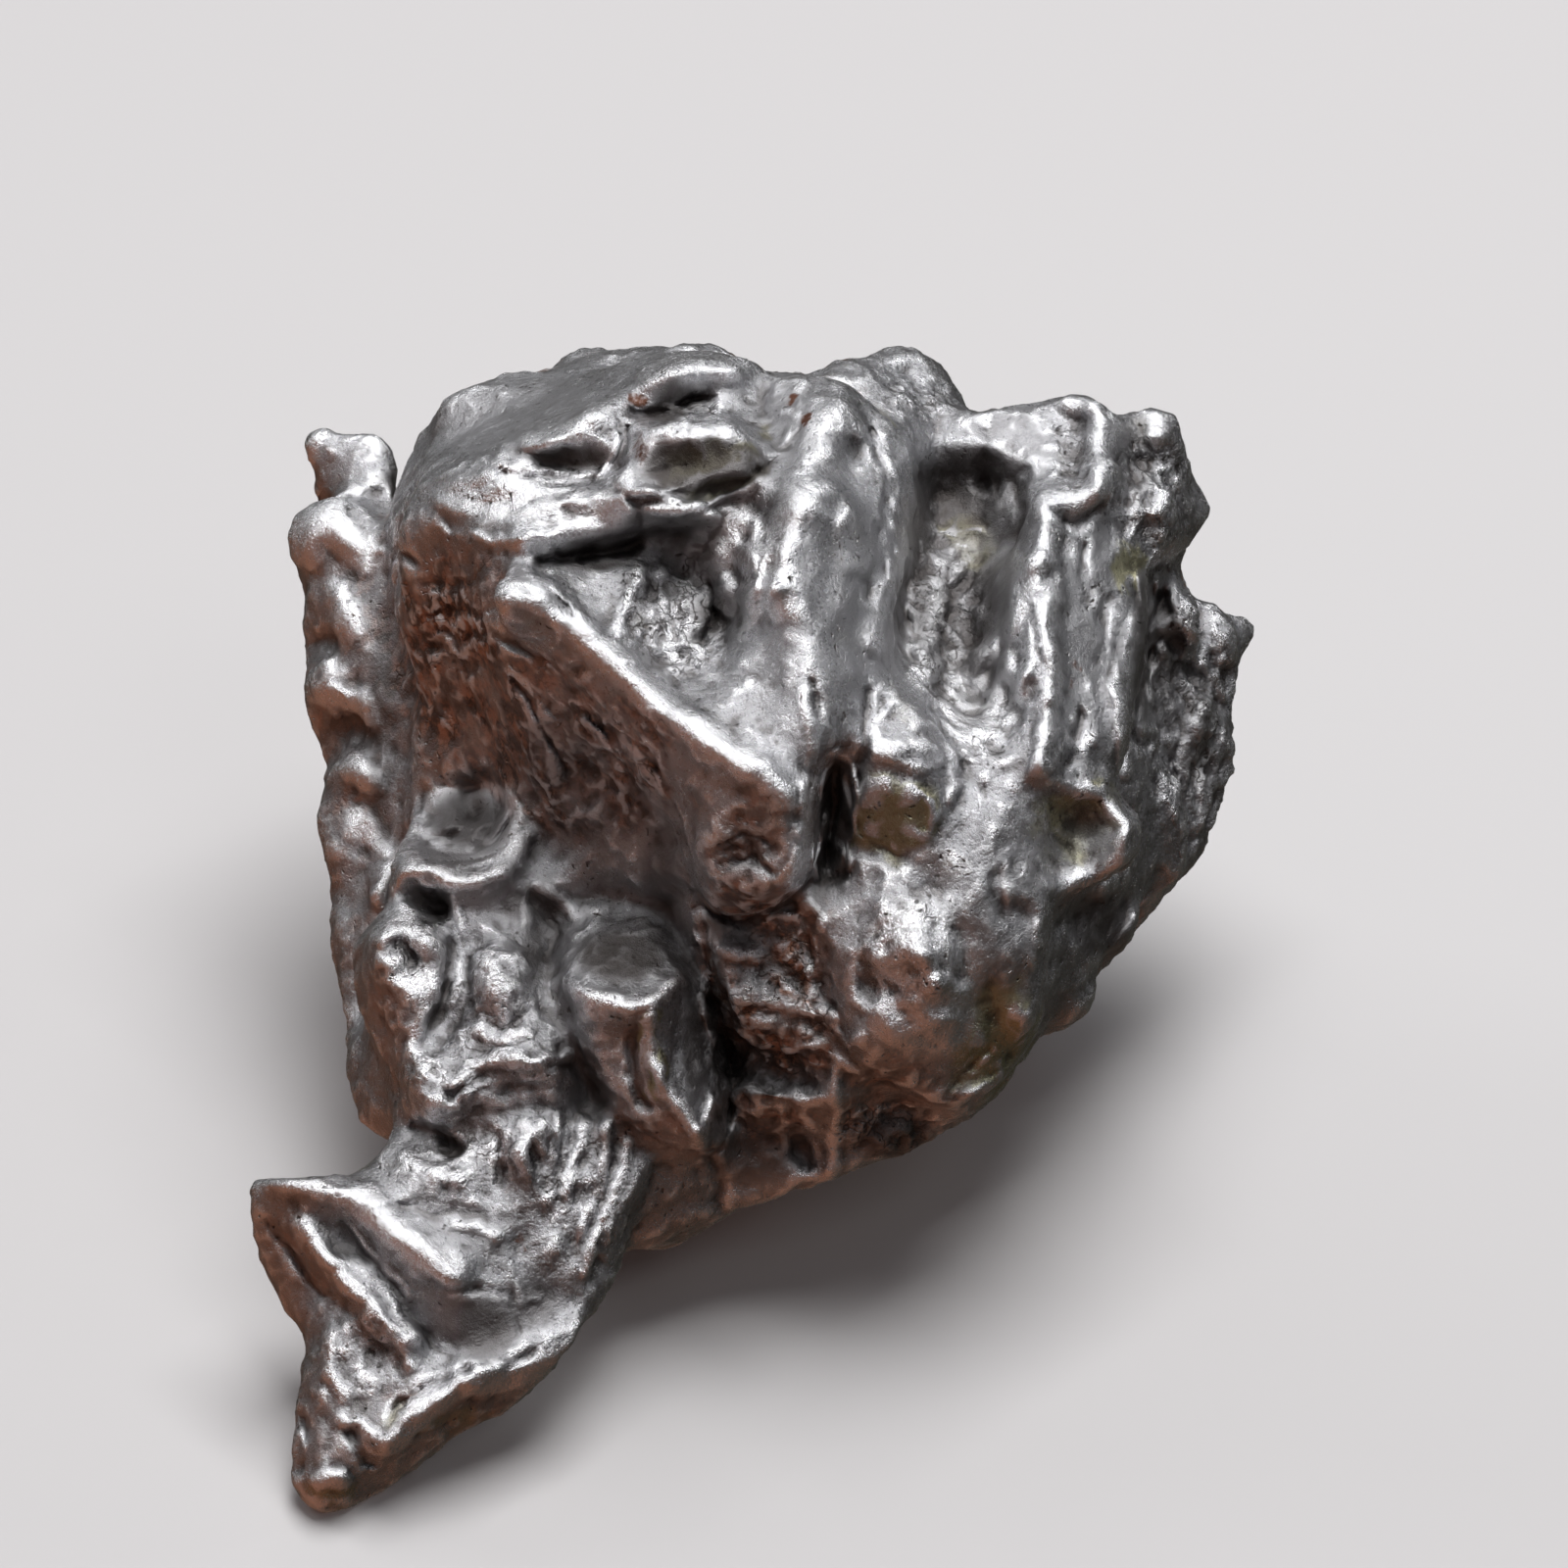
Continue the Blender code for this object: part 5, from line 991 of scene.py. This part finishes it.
# Painted highlight: these faces are made lighter in colour.
PAINTED_HIGHLIGHT_OVALS = [
    (-9.9, 10.3, 3.4, 1.1, 1.0),  # pitted face under the crown
    (10.8, -1.6, 1.4, 1.3, 0.55),  # ear
    (7.2, 2.2, 1.8, 1.6, 0.6),  # gully's mouth
    (-12.9, -13.2, 2.0, 1.2, 0.6),  # bright field on the tongue
    (-5.0, 9.6, 2.2, 0.6, 0.5),  # beam
]
MATTE_OVALS = [
    (-5.8, -6.3, 2.1, 1.3, 1.0),  # knuckle's top
    (-11.3, -1.3, 2.0, 1.6, 0.9),  # cup
    (-10.9, -19.4, 1.8, 1.8, 0.7),  # triangle by the beak
    (0.0, 13.2, 1.2, 1.8, 0.7),  # face left of the column's top
    (-9.2, 6.4, 1.1, 1.2, 0.5),  # knob at the lip's upper end
    (-10.0, 13.4, 3.6, 1.8, 0.7),  # crown's left part
    (-3.0, 11.4, 2.8, 1.4, 0.8),  # face of the ledge
    (3.0, 6.6, 1.6, 4.0, 0.5),  # column's right side
    (11.0, 5.6, 1.6, 4.6, 0.6),  # field right of the long ridge
    (-9.0, -4.6, 2.4, 1.6, 0.7),  # corner by the cup
    (8.0, 12.0, 1.8, 1.8, 0.8),  # face right of the gully's head
    (7.4, -5.4, 2.0, 4.0, 0.6),  # bulge's right side
    (-16.4, -23.4, 1.6, 1.6, 0.6),  # tail's left side
    (-10.6, -15.9, 3.6, 1.0, 0.5),  # lower tongue
]

# %% Masks of the finishes
STAIN_WAVER = 3.0
RAISED_WEAR_AND_HIGHLIGHT_HEIGHT = 0.33
RIDGE_HEIGHT = 0.06
WARM_SIDE = np.array((-0.62, -0.77, 0.1))  # the eye's lower left, where the light is warm
seen_places = seen_at(places)
stain_places = seen_places + STAIN_WAVER * waver
# On the front, the brown is strongest on faces turned to the warm light at the lower left: a painted
# warm reflection over the oxide.
warm_reflection_share = np.clip(0.4 + 2.2 * normals @ WARM_SIDE, 0, 1)
brown = on_the_front(OXIDE_AND_WARM_REFLECTION_OVALS, stain_places) * warm_reflection_share
brown *= 1 - ovals(BROWN_FREE_OVALS, stain_places)
# Painted highlight: the listed faces are made lighter in colour.
rubbed = on_the_front(PAINTED_HIGHLIGHT_OVALS, seen_places)
masks = {
    # The next three masks paint light: crests and raised marks are lighter, as rubbed metal and a
    # painted highlight; creases and sheltered and listed recesses are darker, as painted shade.
    "ridge": np.clip(fine_relief / RIDGE_HEIGHT, -1, 1),
    "raised_wear_and_highlight": np.clip(np.maximum(raised_wear_and_highlight / RAISED_WEAR_AND_HIGHLIGHT_HEIGHT, rubbed), 0, 1),
    "painted_shade": np.maximum(shelter, on_the_front(PAINTED_SHADE_OVALS, seen_places)),
    "rough": rough,
    "brown": brown + on_the_back(1.8, 0.2, 0.8),
    "rust": on_the_front(RUST_OVALS, stain_places) + on_the_back(2.2, -0.75),
    "olive": on_the_front(OLIVE_OVALS, stain_places) + on_the_back(-2.2, -0.6),
    "matte": on_the_front(MATTE_OVALS, seen_places) + on_the_back(-2.0, 0.0, 0.8),
    "pitted": on_the_front(PITTED_OVALS, stain_places) + on_the_back(-2.4, 0.0, 0.8),
}
for name, values in masks.items():
    print(name, "covers", round(float((values > 0.3).mean()), 2), "of the skin")

# %% [markdown]
# Thin the skin
#
# The skin has more points than its shape needs. A collapse keeps those on the creases and
# thins the plain fields. Each point that is left takes its masks from the nearest old one.

# %% Thin the skin and keep its masks
TRIANGLES = 190000
put_places(skin.data, places)
settle(skin, "DECIMATE", ratio=TRIANGLES / (2 * len(net.squares)), use_collapse_triangulate=True)
finder = kdtree.KDTree(net.size)
for index, place in enumerate(places.tolist()):
    finder.insert(place, index)
finder.balance()
thin_places = places_of(skin.data)
nearest = np.array([finder.find(place)[1] for place in thin_places.tolist()])
for name, values in masks.items():
    attribute = skin.data.attributes.new(name, "FLOAT", "POINT")
    attribute.data.foreach_set("value", values[nearest])
rest_places = to_rest(thin_places)
rest_places[:, 2] = np.maximum(rest_places[:, 2], 0)
put_places(skin.data, rest_places)
skin.data.shade_smooth()
print("the finished skin has", len(skin.data.polygons), "triangles")

# %% [markdown]
# The metal
#
# Nickel-iron is a grey mirror that is never quite clean. It could be one flat colour with a
# bump over it, but the real finish changes with the form. So the masks of the mesh choose at
# each point between clean, dull and rubbed metal, a painted highlight on ridges and some faces,
# brown oxide that on the front is also a painted warm reflection, painted shade in recesses and
# creases, olive stain and rust, and noise breaks up their edges. All of it stays metallic,
# because the oxide is thin.

# %% Tools for materials


class Nodes:
    """A node tree, with short names for the nodes that the finishes need."""

    def __init__(self, tree):
        self.tree = tree

    def add(self, kind, **settings):
        made = self.tree.nodes.new(kind)
        for setting, value in settings.items():
            setattr(made, setting, value)
        return made

    def join(self, value, socket):
        """Gives a socket its value: a colour, a number, or what another node puts out."""
        if isinstance(value, tuple):
            socket.default_value = (*value, 1)
        elif isinstance(value, (int, float)):
            socket.default_value = value
        else:
            self.tree.links.new(value, socket)

    def mask(self, name):
        return self.add("ShaderNodeAttribute", attribute_name=name).outputs["Fac"]

    def ranged(self, value, low, high, to_low=0.0, to_high=1.0):
        """Brings a value that runs from low to high to another range."""
        made = self.add("ShaderNodeMapRange", interpolation_type="SMOOTHSTEP")
        sockets = ("Value", "From Min", "From Max", "To Min", "To Max")
        for socket, given in zip(sockets, (value, low, high, to_low, to_high)):
            self.join(given, made.inputs[socket])
        return made.outputs["Result"]

    def math(self, operation, first, second=0.0):
        made = self.add("ShaderNodeMath", operation=operation)
        self.join(first, made.inputs[0])
        self.join(second, made.inputs[1])
        return made.outputs["Value"]

    def plus(self, first, second):
        return self.math("ADD", first, second)

    def minus(self, first, second):
        return self.math("SUBTRACT", first, second)

    def times(self, first, second):
        return self.math("MULTIPLY", first, second)

    def larger(self, first, second):
        return self.math("MAXIMUM", first, second)

    def blended(self, share, first, second):
        """Mixes two colours."""
        made = self.add("ShaderNodeMix", data_type="RGBA")
        self.join(share, made.inputs["Factor"])
        self.join(first, made.inputs[6])
        self.join(second, made.inputs[7])
        return made.outputs[2]

    def speckle(self, where, size_mm, detail=4.0, roughness=0.6):
        """Soft noise with lumps of about this size."""
        made = self.add("ShaderNodeTexNoise")
        self.join(where, made.inputs["Vector"])
        self.join(1 / size_mm, made.inputs["Scale"])
        self.join(detail, made.inputs["Detail"])
        self.join(roughness, made.inputs["Roughness"])
        return made.outputs["Fac"]

    def cells(self, where, size_mm, feature="F1"):
        """A pattern of cells of about this size, as the distance to their middles or edges."""
        made = self.add("ShaderNodeTexVoronoi", feature=feature)
        self.join(where, made.inputs["Vector"])
        self.join(1 / size_mm, made.inputs["Scale"])
        return made.outputs["Distance"]


# %% Noise of five sizes
CLOUD_SIZE = 2.2
MOTTLE_SIZE = 0.7
FOLD_SIZE = 0.5
GRAIN_SIZE = 0.22
SPARKLE_SIZE = 0.09


def add_noises(iron):
    """From clouds two millimetres wide down to a sparkle like fine sand."""
    in_mm = iron.add("ShaderNodeVectorMath", operation="SCALE")
    iron.join(iron.add("ShaderNodeTexCoord").outputs["Object"], in_mm.inputs[0])
    iron.join(1 / MM, in_mm.inputs["Scale"])
    iron.where = in_mm.outputs["Vector"]
    iron.clouds = iron.speckle(iron.where, CLOUD_SIZE)
    iron.mottle = iron.speckle(iron.where, MOTTLE_SIZE, 6.0, 0.7)
    iron.grain = iron.speckle(iron.where, GRAIN_SIZE, 6.0, 0.72)
    iron.sparkle = iron.speckle(iron.where, SPARKLE_SIZE, 3.0, 0.65)
    waves = iron.speckle(iron.where, FOLD_SIZE, 5.0, 0.6)
    iron.folded = iron.math("ABSOLUTE", iron.minus(waves, 0.5))


# %% [markdown]
# From masks to finishes
#
# Each mask of the mesh has soft, even edges. Adding noise to it, or multiplying the two, gives
# the broken edges of a real stain.

# %% Finishes


def add_finishes(iron):
    """How rubbed and highlit (painted highlight), dull, shaded (painted shade), brown (oxide and a
    painted warm reflection), rusty or olive the metal is at each point.
    """
    ridge = iron.mask("ridge")
    raised_wear_and_highlight = iron.ranged(iron.mask("raised_wear_and_highlight"), 0.3, 1.0)
    iron.rough = iron.mask("rough")
    iron.matte = iron.mask("matte")
    # Crests and raised marks are lighter: rubbed metal and a painted highlight.
    iron.rubbed = iron.larger(iron.ranged(ridge, 0.1, 0.9), raised_wear_and_highlight)
    # Creases are darker: painted shade.
    iron.seam = iron.ranged(iron.plus(ridge, iron.times(iron.grain, 0.5)), 0.0, -0.7)
    # Sheltered recesses and the listed places are darker: painted shade.
    iron.closed = iron.ranged(iron.mask("painted_shade"), 0.28, 0.78)
    dull = iron.larger(iron.times(iron.ranged(iron.clouds, 0.38, 0.62), 0.6), iron.matte)
    iron.dull = iron.times(dull, iron.ranged(iron.mottle, 0.40, 0.56, 0.4, 1.0))
    # Brown oxide; on the front it is also a painted warm reflection.
    iron.brown = iron.times(iron.mask("brown"), iron.ranged(iron.clouds, 0.25, 0.6))
    iron.rust = iron.ranged(iron.plus(iron.mask("rust"), iron.grain), 0.85, 1.25)
    iron.olive = iron.ranged(iron.plus(iron.mask("olive"), iron.clouds), 0.6, 1.2)


# %% [markdown]
# Pits and cracks
#
# Damp ground ate round pits into the metal, and the oxide cracked as it dried. A cell
# pattern gives both: a pit in the middle of a cell, a crack where two cells meet. The pattern
# is bent by noise first, because straight cell walls look like tiles.

# %% Pits and cracks
WARP_SCALE = 1.6
PIT_SIZE = 0.42
SPECK_SIZE = 0.24
CRACK_SIZE = 1.1


def bent_places(iron):
    """The places in millimetres, pushed about by slow noise."""
    warp = iron.add("ShaderNodeTexNoise")
    iron.join(iron.where, warp.inputs["Vector"])
    iron.join(WARP_SCALE, warp.inputs["Scale"])
    bent = iron.add("ShaderNodeVectorMath", operation="ADD")
    iron.join(iron.where, bent.inputs[0])
    iron.join(warp.outputs["Color"], bent.inputs[1])
    return bent.outputs["Vector"]


def add_pits_and_cracks(iron):
    bent = bent_places(iron)
    pitted = iron.times(iron.mask("pitted"), iron.ranged(iron.mottle, 0.36, 0.56))
    pitted = iron.larger(iron.ranged(iron.clouds, 0.48, 0.64), pitted)
    pits = iron.ranged(iron.cells(bent, PIT_SIZE), 0.1, 0.25, 1.0, 0.0)
    specks = iron.ranged(iron.cells(bent, SPECK_SIZE), 0.08, 0.22, 0.8, 0.0)
    specks = iron.times(specks, iron.ranged(iron.mottle, 0.53, 0.64))
    iron.pits = iron.larger(iron.times(pits, pitted), specks)
    under_oxide = iron.ranged(iron.mask("brown"), 0.4, 0.8)
    cracked = iron.larger(iron.ranged(iron.rough, 0.2, 0.7), under_oxide)
    edges = iron.cells(bent, CRACK_SIZE, "DISTANCE_TO_EDGE")
    cracks = iron.times(iron.ranged(edges, 0.0, 0.05, 0.8, 0.0), cracked)
    iron.cracks = iron.times(cracks, iron.ranged(iron.clouds, 0.44, 0.58))


# %% [markdown]
# Colour, gloss and fine relief
#
# The colours are laid one over another: oxide, which on the front is also a painted warm
# reflection, over clean iron, then bright rubbing with a painted highlight, then painted shade in
# recesses and creases together with the dark of pits and cracks, and rust last. Rubbing makes the
# metal glossier, and oxide and shelter make it duller. The bump is only for relief under 0.1 mm.

# %% Colour
CLEAN_IRON = (0.50, 0.50, 0.52)
# Lighter metal for rubbed ridges, which also stands for a painted highlight.
RUBBED_AND_HIGHLIGHT_IRON = (0.80, 0.80, 0.82)
DULL_IRON = (0.30, 0.295, 0.30)
# Near black for painted shade in recesses and creases, and for the real pits and cracks.
SHADE_AND_PIT_DARK = (0.07, 0.06, 0.055)
# Brown oxide and its dark mottle, which on the front also stand for a painted warm reflection.
OXIDE_AND_REFLECTION_BROWN = (0.52, 0.29, 0.20)
OXIDE_AND_REFLECTION_DARK = (0.11, 0.085, 0.075)
RUST = (0.13, 0.062, 0.042)
OLIVE = (0.42, 0.40, 0.27)


def colour_of(iron):
    colour = iron.blended(iron.dull, CLEAN_IRON, DULL_IRON)
    layers = (
        (iron.times(iron.sparkle, 0.5), DULL_IRON),
        # brown oxide and a painted warm reflection
        (iron.brown, iron.blended(iron.ranged(iron.mottle, 0.44, 0.60), OXIDE_AND_REFLECTION_DARK, OXIDE_AND_REFLECTION_BROWN)),
        (iron.olive, OLIVE),
        # painted highlight, partly rubbed metal
        (iron.rubbed, RUBBED_AND_HIGHLIGHT_IRON),
        # painted shade in recesses and creases
        (iron.times(iron.closed, 0.85), SHADE_AND_PIT_DARK),
        (iron.times(iron.seam, 0.6), SHADE_AND_PIT_DARK),
        (iron.larger(iron.pits, iron.cracks), SHADE_AND_PIT_DARK),
        (iron.rust, RUST),
    )
    for share, layer in layers:
        colour = iron.blended(share, colour, layer)
    return colour


# %% Gloss and fine relief
GLOSSIEST = 0.22
DULLEST = 0.36
BUMP_HEIGHT = 0.07 * MM


def roughness_of(iron):
    roughness = iron.ranged(iron.grain, 0.3, 0.7, GLOSSIEST, DULLEST)
    changes = (
        (iron.matte, 0.1),
        (iron.closed, 0.2),
        (iron.brown, 0.14),
        (iron.rust, 0.3),
        (iron.rubbed, -0.06),
    )
    for share, change in changes:
        roughness = iron.plus(roughness, iron.times(share, change))
    return roughness


def relief_of(iron):
    height = iron.plus(iron.grain, iron.times(iron.sparkle, 0.4))
    craggy = iron.plus(iron.times(iron.rough, 2.4), 0.5)
    for pattern, depth in ((iron.folded, craggy), (iron.pits, 0.8), (iron.cracks, 0.4)):
        height = iron.minus(height, iron.times(pattern, depth))
    bump = iron.add("ShaderNodeBump")
    bump.inputs["Strength"].default_value = 1.0
    bump.inputs["Distance"].default_value = BUMP_HEIGHT
    iron.join(height, bump.inputs["Height"])
    return bump.outputs["Normal"]


# %% The meteoritic iron


def make_iron():
    material = bpy.data.materials.new("meteoritic_iron")
    material.use_nodes = True
    iron = Nodes(material.node_tree)
    add_noises(iron)
    add_finishes(iron)
    add_pits_and_cracks(iron)
    shader = material.node_tree.nodes["Principled BSDF"]
    shader.inputs["Metallic"].default_value = 1.0
    iron.join(colour_of(iron), shader.inputs["Base Color"])
    iron.join(roughness_of(iron), shader.inputs["Roughness"])
    iron.join(relief_of(iron), shader.inputs["Normal"])
    print("the iron has", len(material.node_tree.nodes), "nodes")
    return material


skin.data.materials.append(make_iron())
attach(skin, "root")
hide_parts("meteorite")

# %% [markdown]
# Floor and light
#
# A polished metal has no look of its own: it shows its surroundings. One large soft box above
# gives the broad highlights, smaller ones in front and at the sides draw the edges, and the
# dark between them gives the metal its depth. From the lower left, a warm glow stands in for
# what a warm-coloured surface close by would send back. The floor is plain and pale.

# %% Floor
FLOOR_SIDE = 6.0
FLOOR_TONE = (0.52, 0.508, 0.510, 1)
FLOOR_ROUGHNESS = 0.9


def make_floor():
    half = FLOOR_SIDE / 2
    mesh = bpy.data.meshes.new("floor")
    corners = [(-half, -half, 0), (half, -half, 0), (half, half, 0), (-half, half, 0)]
    mesh.from_pydata(corners, [], [(0, 1, 2, 3)])
    floor = bpy.data.objects.new("floor", mesh)
    bpy.context.scene.collection.objects.link(floor)
    paper = bpy.data.materials.new("pale_paper")
    paper.use_nodes = True
    shader = paper.node_tree.nodes["Principled BSDF"]
    shader.inputs["Base Color"].default_value = FLOOR_TONE
    shader.inputs["Roughness"].default_value = FLOOR_ROUGHNESS
    mesh.materials.append(paper)
    floor.visible_glossy = False


make_floor()

# %% Lights
PIECE_MIDDLE = Vector((0.0, 0.0, 0.016))
LAMPS = [
    # name, direction in the eye's frame, distance and side in metres, radiance
    ("key", (0.12, 0.88, 0.55), 0.45, 0.28, 11.0),
    ("front", (0.35, 0.30, 1.0), 0.60, 0.14, 3.0),
    ("high", (-0.2, 1.0, -0.5), 0.45, 0.40, 0.45),
    ("left", (-0.9, 0.8, 0.0), 0.45, 0.14, 4.0),
    ("right", (1.0, 0.5, 0.0), 0.45, 0.10, 4.0),
]


def soft_box(name, direction, distance, side, radiance):
    """A square lamp that faces the middle of the piece."""
    data = bpy.data.lights.new(name, "AREA")
    data.shape = "SQUARE"
    data.size = side
    data.energy = radiance * math.pi * side * side
    lamp = bpy.data.objects.new(name, data)
    bpy.context.scene.collection.objects.link(lamp)
    away = Vector((np.array(direction) @ TURN.T).tolist()).normalized()
    lamp.location = PIECE_MIDDLE + distance * away
    lamp.rotation_mode = "QUATERNION"
    lamp.rotation_quaternion = away.to_track_quat("Z", "Y")


for lamp in LAMPS:
    soft_box(*lamp)
print("soft boxes:", len(LAMPS))

# %% Surroundings
SKY = (0.085, 0.085, 0.095)
BELOW = (0.05, 0.047, 0.04)
WARM = (0.27, 0.125, 0.08)


def make_surroundings():
    world = bpy.data.worlds.new("studio")
    bpy.context.scene.world = world
    world.use_nodes = True
    room = Nodes(world.node_tree)
    around = room.add("ShaderNodeTexCoord").outputs["Generated"]
    split = room.add("ShaderNodeSeparateXYZ")
    room.join(around, split.inputs["Vector"])
    colour = room.blended(room.ranged(split.outputs["Z"], -0.25, 0.2), BELOW, SKY)
    side = room.add("ShaderNodeVectorMath", operation="DOT_PRODUCT")
    room.join(around, side.inputs[0])
    side.inputs[1].default_value = (TURN @ WARM_SIDE).tolist()
    colour = room.blended(room.ranged(side.outputs["Value"], 0.25, 0.7), colour, WARM)
    room.join(colour, world.node_tree.nodes["Background"].inputs["Color"])


make_surroundings()

# %% [markdown]
# Camera
#
# The camera stands where the eye stood. A long lens on a 36 mm sensor gives the same frame.

# %% Camera
LENS = 160.3
SENSOR = 36.0
NEAREST_SEEN = 0.01


def make_camera():
    data = bpy.data.cameras.new("eye")
    data.lens = LENS
    data.sensor_width = SENSOR
    data.clip_start = NEAREST_SEEN
    camera = bpy.data.objects.new("eye", data)
    bpy.context.scene.collection.objects.link(camera)
    turn = Matrix(TURN.tolist()).to_4x4()
    place = Vector(to_rest(np.array(((0, 0, EYE_DISTANCE),)))[0].tolist())
    camera.matrix_world = Matrix.Translation(place) @ turn
    bpy.context.scene.camera = camera


make_camera()
bpy.context.scene.view_settings.view_transform = "Standard"

# %% Finish
print("the dressed piece is built")
